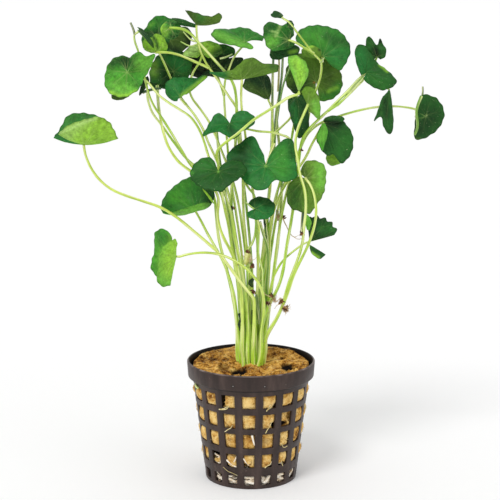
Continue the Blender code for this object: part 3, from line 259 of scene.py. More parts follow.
LEAVES = [
    # Left side
    Leaf("leaf_far_left", (-67.5, 140.6, -18), "mid", "leafy", dome=-1.0, veins=1.6, rim=[
        (-78, 145.2, -4), (-75.5, 147.3, -7), (-70, 149.8, -9), (-62, 152.2, -9), (-57, 149.7, -6),
        (-55, 146.5, -3.5), (-53.5, 143.5, -1), (-55.5, 146.5, 3), (-58.5, 150, 6), (-62, 152.6, 8),
        (-67, 153.7, 9), (-73.5, 152.3, 8), (-77, 147.5, 5), (-80, 143.5, 1)], spots=[
        ("teal", 6, 0.9, [(-79, 143), (-72, 141.4)], "upper"),
        ("silver", 5, 0.5, [(-73, 145), (-69, 148), (-66, 151)], "under"),
        ("pale", 9, 0.7, [(-68, 143), (-62, 149), (-57, 146)], "under"),
        ("silver", 1.1, 0.8, [(-77.6, 145.2), (-71, 148.2), (-62, 151.6)], "under")]),
    Leaf("leaf_low_left", (-30.6, 94.6, -17), "fresh", "light", veins=1.3, crinkle=0.2, rim=[
        (-32.6, 103, 1), (-34.2, 105.4, 2), (-36, 106.2, 3), (-38.6, 105.2, 4), (-39.8, 102.5, 5),
        (-40, 96, 5), (-41, 90.3, 4), (-40, 87.3, 3), (-36.5, 84, 1.5), (-33.2, 82.4), (-36, 81.7, -2),
        (-38.2, 83.2, -3), (-39.2, 86, -4), (-38.2, 91, -5), (-37.4, 95.5, -5), (-36, 98.9, -4),
        (-33.5, 101, -2.5), (-31.3, 102.1, -1.5), (-29.9, 100.3, -0.5)], spots=[
        ("pale", 7, 0.9, [(-31, 99), (-33, 94), (-33, 89)]),
        ("mid", 4, 0.7, [(-37, 104), (-35, 101)], "upper")]),
    Leaf("leaf_left_hand", (-22.8, 113.9, -6), "mid", "light", dome=-2.4, rim=[
        (-15.3, 117.2, -1), (-14.6, 120.5), (-16, 124.5, 2), (-20, 127.3, 4), (-25, 127.3, 6),
        (-30, 125, 6.5), (-34.3, 121, 5.5), (-36.7, 115.5, 2), (-35.8, 112.6, -2), (-31, 113.2, -5),
        (-25, 115.2, -6), (-19.5, 117.1, -4.5), (-16, 117, -2.5)], spots=[
        ("fresh", 5, 0.8, [(-31, 119), (-27, 117)]), ("fresh", 4, 0.5, [(-26, 125), (-30, 122)]),
        ("deep", 6, 0.9, [(-17, 121), (-16, 118)])]),
    Leaf("leaf_big_left", (-49.5, 169.7, -13), "fresh", "olive", dome=-0.8, veins=2.0, crinkle=0.2, rim=[
        (-49.3, 176.1, 1), (-52.2, 176.4, 1.5), (-55.5, 175, 2), (-57.9, 171.5, 2), (-58.9, 166, 1),
        (-57.9, 162.6), (-55.4, 160.4, -1), (-51, 159.6, -1.5), (-46.6, 161.4, -1), (-44.3, 163.6),
        (-42.8, 167, 1), (-40.6, 170.4, 2), (-38.9, 174.2, 1), (-38.2, 177.2, -1), (-41.4, 176.2, -2),
        (-44.8, 178, -3), (-47, 176.8, -2.5), (-48.6, 175.3, -2)], spots=[
        ("deep", 5, 0.9, [(-55, 173.6), (-51, 174.6), (-47, 173)]),
        ("mid", 5, 0.6, [(-47, 166), (-44, 164)]), ("light", 6, 0.8, [(-53, 163), (-49, 162)]),
        ("light", 5, 0.9, [(-44, 173), (-41.5, 175), (-41, 172)]),
        ("pale", 1.4, 0.8, [(-56.5, 161.6), (-53, 160.2), (-49, 160.4), (-46, 162)])]),
    Leaf("leaf_dark_sliver", (-42.3, 167.6, -3.5), "shadow", "deep", rim=[
        (-43.2, 168, -1), (-44, 165, -1.5), (-44.9, 161.5, -1), (-44.6, 160.2), (-42, 163.5),
        (-40.6, 166.2, 0.5), (-41.2, 168.3)]),
    # Top left
    Leaf("leaf_top_left", (-37, 183, 2), "mid", "shade", dome=-0.8, veins=1.8, crinkle=0.45, rim=[
        (-33, 177, -1), (-27.5, 178.5), (-25.8, 183, 1), (-27.5, 187.5, 2), (-31, 190.8, 2),
        (-36, 192.4, 2), (-39.5, 191, 1.5), (-41.6, 188, 1), (-43.3, 185), (-43.6, 181, -1),
        (-42, 177.8, -2)], spots=[
        ("deep", 5, 0.9, [(-40, 181), (-36, 180), (-31, 181)]),
        ("shadow", 2.8, 0.8, [(-41.5, 185), (-37, 185.4)]),
        ("light", 1.3, 0.6, [(-40.6, 187.8), (-38.8, 189.2)])]),
    Leaf("leaf_thin_edge", (-44.4, 186.2, -11), "deep", "leafy", rim=[
        (-45.5, 186.4, -1), (-43.8, 184.6, -3), (-41.8, 182.6, -4), (-39.8, 180.6, -3), (-38.4, 179.4),
        (-39.5, 182, 3), (-41.6, 184.8, 4), (-43.2, 186.6, 3), (-45.2, 187.8, 1)]),
    Leaf("leaf_light_pair", (-37.7, 177.5, -5), "leafy", "leafy", veins=2.6, crinkle=0.35, rim=[
        (-40, 177.4), (-42.8, 178.9, -1), (-43.3, 181.5, -1), (-41.8, 183.8, 0.5), (-39.8, 183.6, 2),
        (-38.6, 184.8, 1.5), (-36, 184.9), (-34.2, 182.8, -1.5), (-33.2, 180.3, -2),
        (-33.5, 178.1, -1.5)], spots=[
        ("pale", 3.4, 0.8, [(-37, 183.6), (-35.6, 181.4)]),
        ("deep", 1.3, 0.9, [(-39.6, 184.6), (-37.8, 182.2), (-37, 179.4)]),
        ("pale", 2.8, 0.5, [(-41.8, 180), (-39.6, 179)])]),
    Leaf("leaf_round_under", (-32, 187.2, -10.5), "mid", "mid", dome=-0.6, veins=3.4, crinkle=0.35, rim=[
        (-28.2, 186.2, 1.5), (-28.8, 184.3, 1.5), (-31, 182.8, 1), (-34, 183.1, 0.5), (-35.9, 185.3, 0.5),
        (-35.8, 187.8, 1), (-34, 189.6, 1.5), (-31.5, 190.6, 2.5), (-29.2, 189.6, 2.5)], spots=[
        ("leafy", 4, 0.85, [(-36.6, 187.6), (-34.4, 185.6)]),
        ("pale", 0.7, 0.8, [(-35.8, 185.4), (-35.8, 187.8), (-34, 189.6)]),
        ("deep", 3, 0.8, [(-29.5, 184.5), (-31.5, 184)]),
        ("deep", 1.5, 0.8, [(-32.6, 189.4), (-30, 188.6)])]),
    Leaf("leaf_saddle", (-21.6, 188.5, -8), "deep", "shade", dome=-0.6, rim=[
        (-26.3, 194.8, -2), (-22, 193.3, -4), (-18.5, 192, -5), (-15, 192, -5), (-12.4, 193.6, -3),
        (-11.4, 191.5, -1.5), (-12.5, 189.4), (-13.5, 191, 4), (-17, 190.8, 7), (-21, 191.6, 8),
        (-24.6, 193, 5)], spots=[
        ("olive", 5, 0.6, [(-16, 191), (-13, 191.5)]), ("mid", 4, 0.6, [(-20, 191.6)])]),
    Leaf("leaf_mottled", (-19.5, 177, 6.5), "leafy", "leafy", dome=-0.8, veins=3.4, crinkle=0.4, rim=[
        (-21.5, 175.4, -1.5), (-25, 175.9, -2), (-27.3, 176.9, -2.5), (-25.5, 179.3, -2.5),
        (-22, 181, -1.5), (-18, 182.2, -0.5), (-14.5, 181.8, -1), (-11.6, 179.8, -1.5), (-11.4, 177.6, -2),
        (-13.8, 175.8, -2.5), (-17, 175.3, -1.5)], spots=[
        ("silver", 4, 0.8, [(-22, 179.6), (-25, 177.5)]), ("pale", 4, 0.7, [(-18.4, 181), (-16.6, 178.6)]),
        ("light", 3, 0.7, [(-15, 182.6), (-12.6, 182)]),
        ("deep", 3.6, 0.9, [(-12.2, 178), (-14.6, 176)])]),
    Leaf("leaf_back_left", (-31, 170, 6), "dark", "shade", dome=0.8, crinkle=0.25, rim=[
        (-33.2, 163.4, -1), (-28.6, 164.2, -1), (-25.2, 167.2), (-23.5, 171, 1), (-23.8, 174.8, 1),
        (-27, 178, 1), (-32, 178.5), (-37, 176.8), (-40, 172.5), (-40.8, 168, -1), (-39.6, 165.3, -1),
        (-35.4, 164.6, -1)], spots=[
        ("teal", 5, 0.9, [(-30, 174.6), (-27.4, 172)]), ("olive", 3.4, 0.8, [(-39, 173), (-38.6, 169.6)]),
        ("shadow", 4, 0.8, [(-35, 170.4), (-33.6, 166)])]),
    Leaf("leaf_back_middle", (-16, 171.5, 9), "shadow", "deep", dome=0.8, rim=[
        (-20, 168.6, -1), (-14, 167.8, -1), (-8.6, 169.5), (-7.6, 173.5, 1), (-9.5, 176.3, 1),
        (-15, 176.9, 1), (-19.5, 176.4, 0.5), (-22.3, 173.5), (-21.8, 170.5, -0.5)]),
    Leaf("leaf_heart", (-28.4, 159.6, -5), "teal", "olive", dome=0.6, rim=[
        (-25.8, 160.9, 0.5), (-20.8, 164.9, 2), (-17.2, 167.8, 4), (-18.6, 168.5, 5), (-22, 167.5, 6),
        (-26.4, 168.1, 5), (-30.4, 167.8, 4), (-33.5, 166.2, 3), (-34.6, 163.5, 2), (-33.7, 160.2, 1),
        (-31.2, 158.4, 0.5), (-29.6, 158.2)], spots=[
        ("leafy", 1.7, 0.95, [(-27.5, 160.4), (-22, 164.4), (-18, 167.6)])]),
    # Top middle
    Leaf("leaf_crest", (-2.8, 181.4, 2.5), "mid", "olive", dome=0.5, veins=1.5, crinkle=0.25, rim=[
        (4.9, 182.3, 1), (4.8, 184.4, 2.5), (0.5, 186.2, 4.5), (-4, 187.6, 5.5), (-9, 187.1, 6),
        (-13.8, 186.9, 4.5), (-16, 184.6, 1.5), (-13.3, 182.1, -1.5), (-9.5, 180.9, -3.5),
        (-4.5, 179.6, -4.5), (0.4, 179, -3.5), (0.9, 179.8, -2), (-0.5, 180.9, -0.5)], spots=[
        ("light", 3.6, 0.9, [(-14, 184.4), (-9, 182.3), (-4, 180.4), (0, 179.6)])]),
    Leaf("leaf_wide_curl", (-3.8, 166.8, -7), "mid", "olive", dome=-0.8, veins=1.3, rim=[
        (-11, 166.9, -1.2), (-17, 169.9, -2), (-12.6, 170, -2.4), (-7.5, 170.8, -3), (-4.6, 173.2, -4),
        (-1.8, 175.5, -4), (2, 175.5, -3), (4, 173.7, -2), (7.4, 173, -1.4), (10.8, 172.8, -1),
        (11.1, 170.1, -0.5)], spots=[
        ("shade", 6, 0.6, [(0, 171), (5, 172)]), ("deep", 3, 0.7, [(8.5, 172), (11, 171.4)]),
        ("teal", 3.4, 1.0, [(-17, 170), (-11, 168.6)])]),
    Leaf("leaf_dark_middle", (7.2, 158.9, 3.5), "shadow", "deep", dome=0.6, rim=[
        (8, 161.5, 0.5), (8, 166, 1.5), (6, 169.3, 1), (2, 170.2, 0.5), (-1.5, 168), (-3.4, 164.8, -1),
        (-2, 162.6, -2), (2, 160.7, -2), (5.5, 158.9, -1.5)], spots=[
        ("shade", 4, 0.8, [(-2, 163.6), (3, 161.2), (6, 160)])]),
    Leaf("leaf_crinkled", (15.2, 182.4, -5), "mid", "mid", dome=-0.6, veins=2.0, crinkle=0.7, rim=[
        (17.9, 181.3, 1), (15.5, 179.2, 1), (12, 178.4), (8.3, 178.1), (6, 180.3), (5, 183.5),
        (4.8, 187, 1), (6.3, 189.6, 2), (9.8, 189.3, 1), (11.8, 188.3), (14.2, 189.1, 1), (16.6, 187.3, 2),
        (17.3, 184.5, 1)], spots=[
        ("deep", 4.5, 0.8, [(14, 181), (16, 184)]), ("light", 4, 0.7, [(7, 181), (9, 182.4)]),
        ("deep", 3.6, 0.7, [(6.5, 187), (8, 188)]),
        ("silver", 0.9, 0.6, [(11.8, 188.4), (10.6, 185.8), (9.8, 184)]),
        ("silver", 0.8, 0.5, [(8.2, 186), (10.5, 185.4)])]),
    Leaf("leaf_tip", (12.4, 191.9, -8.5), "deep", "deep", crinkle=0.4, teeth=3.0, rim=[
        (12.9, 192.5, 0.3), (11.4, 193.6, 1), (9.8, 194.1, 1.5), (7.6, 192.8, 1), (8.6, 191.5, -0.5),
        (10.5, 191.4, -1), (11.8, 191, -0.7)]),
    # Top right
    Leaf("leaf_big_round", (28.6, 175.9, 3.5), "mid", "olive", dome=0.8, crinkle=0.25, rim=[
        (31, 173.3, -0.5), (35.6, 170.4, 0.5), (38.3, 173.8, 1.5), (39.9, 178.5, 2.5), (38.6, 182.3, 3.5),
        (35.5, 186, 4.5), (31, 187.8, 4.5), (26, 188.7, 4.5), (21.5, 187.7, 3.5), (18.2, 185.3, 2.5),
        (18, 181.8, 0.5), (20.5, 179.9, -0.5), (24.5, 177.4, -2)], spots=[
        ("fresh", 6, 0.6, [(22, 183), (28, 183)]), ("dark", 3.4, 0.9, [(30, 184), (34, 182), (38, 181)]),
        ("teal", 6, 0.7, [(34, 176), (38, 176)])]),
    Leaf("leaf_big_dark", (26, 166, 11), "olive", "olive", dome=0.8, rim=[
        (27.4, 158, -2), (31.2, 158.3, -2), (34.6, 160.2, -1.5), (36.6, 163.6, -1), (36.6, 167.5),
        (35, 172, 1), (30, 175.5, 2), (24, 177.5, 2), (18.5, 177, 1), (14.5, 172.5), (13.5, 167, -1),
        (15.5, 162.5, -2), (20, 160, -2), (25.6, 158.6, -1.5)], spots=[
        ("shade", 9, 0.85, [(30, 172), (31, 166)]), ("shadow", 8, 0.95, [(18, 172), (20, 166), (18, 162)]),
        ("mid", 4, 0.9, [(29, 159.6), (33, 160.5), (35.4, 164)]),
        ("leafy", 1.4, 0.8, [(31, 162), (34.4, 163.6)]), ("rust", 0.8, 0.9, [(25.3, 165.6)])]),
    Leaf("leaf_light_folded", (19.1, 162, -11), "light", "light", veins=2.2, crinkle=0.2, rim=[
        (14.6, 173.8, 0.5), (15.1, 176), (18.5, 176.2, -1), (21.8, 174, -1), (23.1, 170.3, -0.5),
        (22, 166.9, 2.5), (20.6, 168.5, 7), (18.6, 172, 9.5), (16.2, 172.5, 9)], spots=[
        ("pale", 4, 0.7, [(18, 174), (20, 170), (19.5, 166)])]),
    Leaf("leaf_under_right", (22.6, 156.6, -6.5), "mid", "olive", dome=-0.4, veins=1.4, rim=[
        (19.9, 162.2), (22.2, 164.3, 0.5), (24.8, 163.6, 1), (27.2, 160.3, 1), (28, 156, 0.5),
        (27.8, 151.2), (26.8, 150.9), (24.8, 153), (23, 154.2)], spots=[
        ("light", 3.4, 0.8, [(26, 157), (27, 153)]), ("leafy", 3, 0.7, [(21.6, 162.6), (24.6, 162)])]),
    Leaf("leaf_dark_hanging", (18.4, 160, 4), "deep", "dark", rim=[
        (15.2, 160.4, -1), (14.6, 156.8, -1), (15.3, 153.2, -2), (17, 148.4, -2.5), (18.8, 143.6, -3),
        (20.5, 143.2, -2), (23.2, 146.5, -1), (23.4, 152.6, -0.5), (22.8, 157.2), (20.9, 160.7)], spots=[
        ("teal", 2.4, 0.7, [(17, 156), (18.4, 150)])]),
    # Right side
    Leaf("leaf_kidney", (46, 169.5, 6), "dark", "olive", dome=0.8, veins=0.5, rim=[
        (44.9, 167, -1), (46.4, 165.4, -1.5), (49.6, 163.4, -2.5), (53.8, 162.5, -4), (58.5, 165.4, -4),
        (55.3, 170, -1), (50.6, 173.6), (48.2, 176.7, 0.5), (45.3, 180.4), (43.2, 180.9, -1),
        (41.4, 178.9, -2), (42, 173.4, -2), (44, 168.4, -1)], spots=[
        ("teal", 5, 0.8, [(43.6, 177), (45, 170)]), ("mid", 4, 0.5, [(48, 167), (53, 165)]),
        ("leafy", 1.1, 0.9, [(51.4, 172.6), (54.5, 170)])]),
    Leaf("leaf_curly", (50.3, 175.8, 10), "dark", "mid", crinkle=0.5, rim=[
        (51.8, 174.7), (53.7, 176, -1), (54, 178.8, -1), (52.5, 181.4), (51.3, 183.4, 0.5),
        (50.2, 180.6, 1), (46.9, 184.3, 0.5), (45.5, 180.8), (46.4, 177.4), (49, 174.7)], spots=[
        ("black", 2.4, 0.9, [(49.6, 178.6), (50.4, 176.6)]),
        ("black", 0.9, 1.0, [(51.3, 183.2), (51.6, 181.6)])]),
    Leaf("leaf_narrow_hanging", (55.5, 162.9, 3), "dark", "mid", rim=[
        (52.8, 159.8, -1), (51.2, 155, -1.5), (49.3, 150, -1.5), (52.1, 151.8, -0.5), (53.6, 147.3),
        (55.8, 144.6, 1), (56.8, 146, 1.5), (57.2, 151.3, 2), (55.8, 155.5, 2), (56.2, 160, 1.5)], spots=[
        ("shadow", 2.2, 0.7, [(54, 158), (54.5, 152)])]),
    Leaf("leaf_far_right", (70.4, 152.4, 5), "dark", "leafy", dome=-0.8, veins=0.55, rim=[
        (66.1, 151.8, -1.5), (65.7, 147.4, -2), (65.8, 143.2, -2), (68.5, 142.5, -1.5), (72, 143.9, -0.5),
        (75.6, 147), (77.7, 151.5), (77.5, 155.5), (74.8, 159.3), (71.5, 160.7), (68.7, 161, -1),
        (67.2, 158.5, -2), (66.2, 154, -3)], spots=[
        ("silver", 0.5, 0.7, [(70.3, 151.9), (70.6, 152.6)]),
        ("olive", 1.6, 0.8, [(66.4, 142.6), (68, 142.2)]), ("shadow", 8, 0.7, [(69, 147), (72, 152)])]),
    Leaf("leaf_right_round", (29.4, 149.2, 0), "dark", "leafy", dome=-1.0, veins=0.5, rim=[
        (27.6, 147.3), (26.3, 143.2), (27.4, 140.2, -0.5), (29, 137.6, -1), (31, 136, -1),
        (33.4, 136.3, -0.5), (34.8, 134.6), (36.4, 132.8), (38.8, 134.2, 1), (40.8, 137.3, 1.5),
        (41.5, 141, 2), (40.9, 145, 2.5), (38.8, 148.4, 2.5), (36.2, 151.1, 3), (32.5, 152.1, 3)], spots=[
        ("black", 5, 0.9, [(31, 150), (34, 149.4)]), ("mid", 6, 0.4, [(36, 138), (38, 143)])]),
    # Middle
    Leaf("leaf_heart_middle", (-8.6, 149.2, -5), "teal", "olive", dome=0.5, veins=0.7, rim=[
        (-10.5, 151.6, 1), (-13.3, 153.4, 1.5), (-16, 150.7, 1), (-19.8, 144.2, -2), (-16.5, 145, -4),
        (-12.5, 145.3, -5.5), (-7.2, 142.9, -6.5), (-3.5, 145.6, -5), (0.5, 148, -3.5), (2, 150.7, -2),
        (0.3, 153.2), (-3.5, 154.5, 1), (-6.8, 152.8, 1)], spots=[
        ("deep", 3, 0.8, [(-8.5, 147), (-6.5, 144)]), ("dark", 4, 0.7, [(-2, 148), (0.5, 149.5)])]),
    Leaf("leaf_kidney_left", (-13.2, 129.4, -14), "dark", "olive", dome=0.6, veins=0.6, rim=[
        (-15.1, 134.4, 3.5), (-17.2, 135.6, 4.5), (-20.6, 134.6, 4), (-23.6, 132, 2.5), (-24.9, 128.2),
        (-23.3, 125.1, -3), (-19.5, 122.4, -6), (-15.5, 121.8, -7.5), (-12, 121.4, -8), (-8.5, 124, -6.5),
        (-4.5, 126.7, -4), (-1.6, 129.5, -1), (-2.5, 132.6, 1.5), (-6, 134.2, 3.5), (-9.5, 133.7, 3.5),
        (-12, 131.9, 2)], spots=[
        ("light", 0.9, 1.0, [(-13.2, 129.5)]), ("mid", 5, 0.7, [(-20, 132), (-17, 133)]),
        ("deep", 5, 0.6, [(-6, 130), (-10, 126)]), ("fresh", 1.6, 0.7, [(-24, 129)])]),
    Leaf("leaf_kidney_middle", (6, 131.7, -10), "teal", "olive", dome=0.6, veins=0.9, rim=[
        (5.1, 136.9, 3), (3.3, 139.8, 5), (1.9, 142.9, 6), (-0.3, 144.2, 6.5), (-3, 142.3, 6.5),
        (-6.8, 139.9, 6), (-9.8, 136.6, 4.5), (-9.2, 131.5, 2), (-4.4, 126.9, -2), (-0.8, 123.8, -5),
        (3.3, 121.7, -7), (6.8, 122.8, -7), (9.9, 126, -5), (13.5, 125.2, -5), (18.6, 127.3, -3),
        (18.5, 132.5, 1), (17.4, 141, 5), (15.2, 143.4, 6), (11.7, 141.6, 5.5), (8, 137, 3.4)], spots=[
        ("deep", 7, 0.9, [(-3, 139), (-5, 134)]), ("fresh", 8, 0.55, [(12, 137), (12, 130)]),
        ("dark", 3, 0.8, [(15.5, 142), (17, 136)]), ("light", 1.1, 1.0, [(6, 131.8)]),
        ("mid", 6, 0.5, [(2, 125)])]),
    Leaf("leaf_small_dark", (1.6, 114.3, -9.5), "teal", "olive", dome=0.5, rim=[
        (-1.7, 112.7, -1), (-1.2, 111, -1.5), (1.5, 109.8, -2), (5, 109.7, -2), (8.2, 110.9, -1.5),
        (9.7, 113.4, -0.5), (9.9, 115.6, 0.5), (8.6, 117.8, 1.5), (5.6, 119.1, 2.5), (3, 119.3, 2.5),
        (0.4, 118.3, 2), (-1.4, 116.3, 1)], spots=[
        ("deep", 4, 0.9, [(1, 117.4), (5, 118.3), (8, 116.5)])]),
    Leaf("leaf_light_right", (22.2, 126.9, -8), "leafy", "olive", dome=-0.6, veins=1.3, rim=[
        (19.9, 129, 1), (21, 132.4, 1), (22.8, 134.2, 1), (25.8, 134.3, 1), (29, 133, 0.5), (30.6, 130),
        (30.4, 124, -1), (29.4, 120, -1), (26.8, 115.8, -1), (24, 112.2, -0.5), (20.5, 112.9),
        (16.5, 114.2, 1), (14.6, 117.5, 2), (14.6, 122.3, 2), (16.3, 125.8, 1.5),
        (19.3, 127.7, 1)], spots=[
        ("light", 5, 0.8, [(28, 131), (28.4, 124)]), ("dark", 6, 0.8, [(18, 122), (18, 116)]),
        ("shade", 4, 0.6, [(22, 131), (22, 128)])]),
    Leaf("leaf_scalloped", (23.9, 100.8, -6), "deep", "olive", dome=0.4, crinkle=0.3, teeth=3.2, rim=[
        (32.2, 102.9), (35.4, 104.4), (34.3, 107.5, 1), (32, 109.8, 2), (28.5, 111.3, 2), (24.6, 111.7, 2),
        (22.9, 109.5, 1)], spots=[
        ("mid", 4, 0.5, [(29, 106), (33, 106)])]),
]

LEAF = {leaf.name: leaf for leaf in LEAVES}

# Small blades that carry no solid of their own. The darkest, in black and shadow tones, are dark sheets of
# painted shade that fill gaps and notches
SPRIGS = [
    Leaf("sprig_narrow", (23.5, 105.2, -10), "light", "pale", rim=[
        (24.3, 106.8), (24.7, 109, 0.3), (23.8, 111, 0.5), (22.5, 112.2, 0.8), (22.2, 109, 0.5),
        (22.7, 106, 0.2)]),
    Leaf("sprig_hanging", (24, 99.3, -9.5), "dark", "leafy", rim=[
        (24.1, 97.6), (25.2, 95.3, 0.5), (28.2, 93.4, 1), (30.8, 95.1, 1.5), (28.3, 95.6, 1.2),
        (26.2, 98, 0.6), (24.9, 98.6, 0.2)], spots=[
        ("pale", 1.2, 0.8, [(25, 96), (27.5, 94.2)])]),
    Leaf("sprig_top_strip", (-31.6, 190.3, 1), "dark", "deep", rim=[
        (-31.4, 189.4), (-27, 188), (-22, 187.4), (-21.4, 188.4), (-24, 189.6, 0.6), (-27.5, 190.8, 1),
        (-31.4, 191.2, 1)]),
    Leaf("sprig_olive_fold", (-32.4, 182.6, -4.5), "shade", "shade", rim=[
        (-33.4, 179.2), (-29, 177.6, 0.5), (-25, 179.6, 1), (-23.4, 183.4, 1.5), (-24, 186.6, 2),
        (-27.5, 188, 2), (-31, 186, 1)], spots=[
        ("black", 4, 0.95, [(-24.5, 180), (-24, 184)]), ("shadow", 3, 0.9, [(-33, 179.5), (-29, 178.2)])]),
    # A dark sheet of painted shade in the gap among the back leaves
    Leaf("sprig_gap_dark", (-25.8, 172, 10.5), "black", "shadow", rim=[
        (-25.6, 169), (-21, 167.4), (-16.5, 168.6), (-15.6, 173), (-17, 176.6), (-22, 177.8),
        (-25.6, 175)]),
    Leaf("sprig_beside_mottled", (-11.5, 177.6, 8), "dark", "shade", rim=[
        (-14, 175.4), (-10, 175.2), (-6.5, 176.6), (-6.2, 178.4), (-7.4, 179.8), (-10, 180.8),
        (-13, 181)], spots=[
        ("black", 2, 0.8, [(-12.5, 175.8), (-8, 176)])]),
    Leaf("sprig_under_big_left", (-52.8, 160.8, -10), "shade", "shade", rim=[
        (-56.2, 160.6), (-55.4, 158.8), (-52, 158.6), (-49, 160), (-48.4, 161)]),
    Leaf("sprig_tip_curl", (14.7, 187.6, -8.5), "deep", "dark", rim=[
        (16, 186.3), (16.9, 187, 0.5), (17, 188.6, 1), (16.3, 190, 1), (15, 190.4, 0.5), (14.2, 189.2)]),
    Leaf("sprig_round_curl", (20.2, 178.7, 0), "olive", "leafy", rim=[
        (20.6, 177.6, 1), (20.4, 176.4, 0.5), (24, 175.4), (28, 175.6), (27.6, 178.9), (25, 180.3, 0.5),
        (21.8, 179.8, 1)], spots=[
        ("shadow", 1.1, 1.0, [(27.2, 178.6)]), ("pale", 1.2, 0.8, [(21.5, 179.2), (24.5, 180)])]),
    Leaf("sprig_knot", (7.6, 178, 0), "deep", "shadow", rim=[
        (7.4, 176.4), (8.4, 175), (11, 174.6), (14.5, 175.8), (18.5, 176.4), (19.6, 178.6), (18, 180.6),
        (13, 180.4), (8, 179.8)], spots=[
        ("leafy", 1.3, 0.8, [(15.5, 177.6), (18, 178.2)])]),
    Leaf("sprig_light_flap", (28.8, 149.4, -3.5), "fresh", "leafy", rim=[
        (26.3, 143.4), (27.4, 140.6, 0.5), (28.8, 137.8, 1), (29.6, 140, 1), (30.6, 143.4, 1),
        (31, 146, 0.6), (30, 149)], spots=[
        ("light", 3, 0.8, [(29, 147), (28.5, 143)])]),
    Leaf("sprig_dark_top", (29, 150.4, 1.5), "dark", "shadow", rim=[
        (29.4, 149.6), (31.5, 148.6), (35, 149.4), (38, 150.6), (36.5, 152, 0.4), (33, 152.4, 0.6),
        (30, 151.6, 0.4)], spots=[
        ("black", 2, 0.9, [(30.5, 149.4), (35, 149.6)])]),
    Leaf("sprig_olive_bit", (30.2, 134.9, 2.5), "leafy", "olive", rim=[
        (31, 132.9), (32.6, 131.9), (34.8, 132.2), (36.6, 133.4), (36.6, 136), (33.6, 137.6),
        (30.6, 136.8)], spots=[
        ("olive", 2, 0.8, [(31, 133.4), (33, 132.4)])]),
    Leaf("sprig_light_tip", (-15.1, 116.4, -10.6), "pale", "bright", rim=[
        (-15.6, 117.8), (-16.7, 119.8), (-18.6, 121.9), (-19.9, 123), (-18.2, 120.4, 0.1),
        (-16.6, 118, 0.1)]),
    Leaf("sprig_left_lap", (-49.8, 169.9, -12.4), "mid", "deep", veins=1.6, rim=[
        (-51.8, 175, 0.2), (-49.7, 175.7, 0.4), (-47.6, 175.6, 0.2)]),
    # A dark sheet of painted shade that closes the notch of leaf_back_left
    Leaf("sprig_back_lap", (-31.6, 170.8, 6.6), "shadow", "shadow", rim=[
        (-33.8, 166.2), (-31.4, 165.4), (-29.2, 166.6)]),
    Leaf("sprig_far_right_lap", (70.5, 151.6, 5.2), "dark", "dark", rim=[
        (66.4, 149.4, -1.2), (66, 151.6, -1.4), (66.2, 154.4, -1.6), (67.4, 156, -1.2)]),
    # A dark sheet of painted shade in the corner beside leaf_back_middle
    Leaf("sprig_dark_corner", (-10.6, 171.6, 5), "shadow", "shadow", rim=[
        (-9.9, 169.6), (-7.2, 170), (-4, 172.8), (-2.9, 175.2), (-6, 175.8), (-10, 175)]),
    Leaf("sprig_gap_green", (-40.6, 166, 9), "deep", "shadow", rim=[
        (-40, 163.6), (-36, 163.2), (-32, 163), (-30, 166), (-34, 169), (-39, 168.6)]),
]


# Stems: each shoot as in the part's source


class Run:
    """One unforked length that ends at a blade, with its points and its radius at each."""

    def __init__(self, points, thick, to):
        self.blade = LEAF[to]
        self.points = smooth_route(points + [self.blade.stalk_end(thick[1] / 2)], SAMPLE)
        self.radius = np.linspace(thick[0] / 2, thick[1] / 2, len(self.points))
        self.distance = travelled(self.points)
        self.joint = None

    def freedom(self):
        """How far each point may give way: not at the ends, and fully some way from them."""
        held, free = 6, 12
        from_foot = 1.0 if self.joint is not None else np.clip((self.distance - held) / free, 0, 1)
        to_tip = np.clip((self.distance[-1] - self.distance) / free, 0, 1)
        return from_foot * to_tip

    def follow(self, place):
        """Keeps a stalk's start on its trunk, and eases the change out along the stalk."""
        reach = min(15.0, self.distance[-1] - 0.1)
        ease = np.clip(1 - self.distance / reach, 0, 1) ** 2
        self.points = self.points + ease[:, None] * (place - self.points[0])


class Stem:
    """One shoot: a trunk that rises from the plug, and the stalks that fork from it.

    slot is its place in the bunch, to names the blade at its end, thick is how thick it is at
    its foot and at its end, and the route is what is seen of it from the bunch up. cream is how
    cream it is, from vivid green at 0. A stalk is (start on the trunk, blade, thickness, route).
    """

    def __init__(self, name, slot, to, thick, route, stalks=(), cream=0.3):
        self.name = name
        self.cream = cream
        foot = [(*slot, WELL_FLOOR + GAP), (*slot, PLUG_TOP + 1.0)]
        self.runs = [Run(foot + [seen(*p) for p in route], thick, to)]
        for start, blade, thin, path in stalks:
            self.runs.append(Run([seen(*p) for p in [start] + path], (thin + 0.2, thin), blade))

    def place_forks(self):
        trunk = self.runs[0].points
        for run in self.runs[1:]:
            run.joint = int(np.argmin(np.linalg.norm(trunk - run.points[0], axis=1)))
            run.follow(trunk[run.joint])


# How runs that touch give way: how readily across, in depth and up, and in how many rounds
GIVE = [0.35, 1.0, 0.15]
DEPTH_START = 0.4
EASE_ROUNDS = 110
EASE_SHARE = 0.5
NEAR = 2.5
BOW_REACH = 6
BOW_WIDTH = 2.4
BOW_GAIN = 1.6


def blurred(push):
    """A push spread along a run, so that it gives way in one smooth bow."""
    kernel = np.exp(-0.5 * (np.arange(-BOW_REACH, BOW_REACH + 1) / BOW_WIDTH) ** 2)
    spread = [np.convolve(push[:, axis], kernel)[BOW_REACH:BOW_REACH + len(push)] for axis in range(3)]
    return np.stack(spread, axis=1) / kernel.sum() * BOW_GAIN


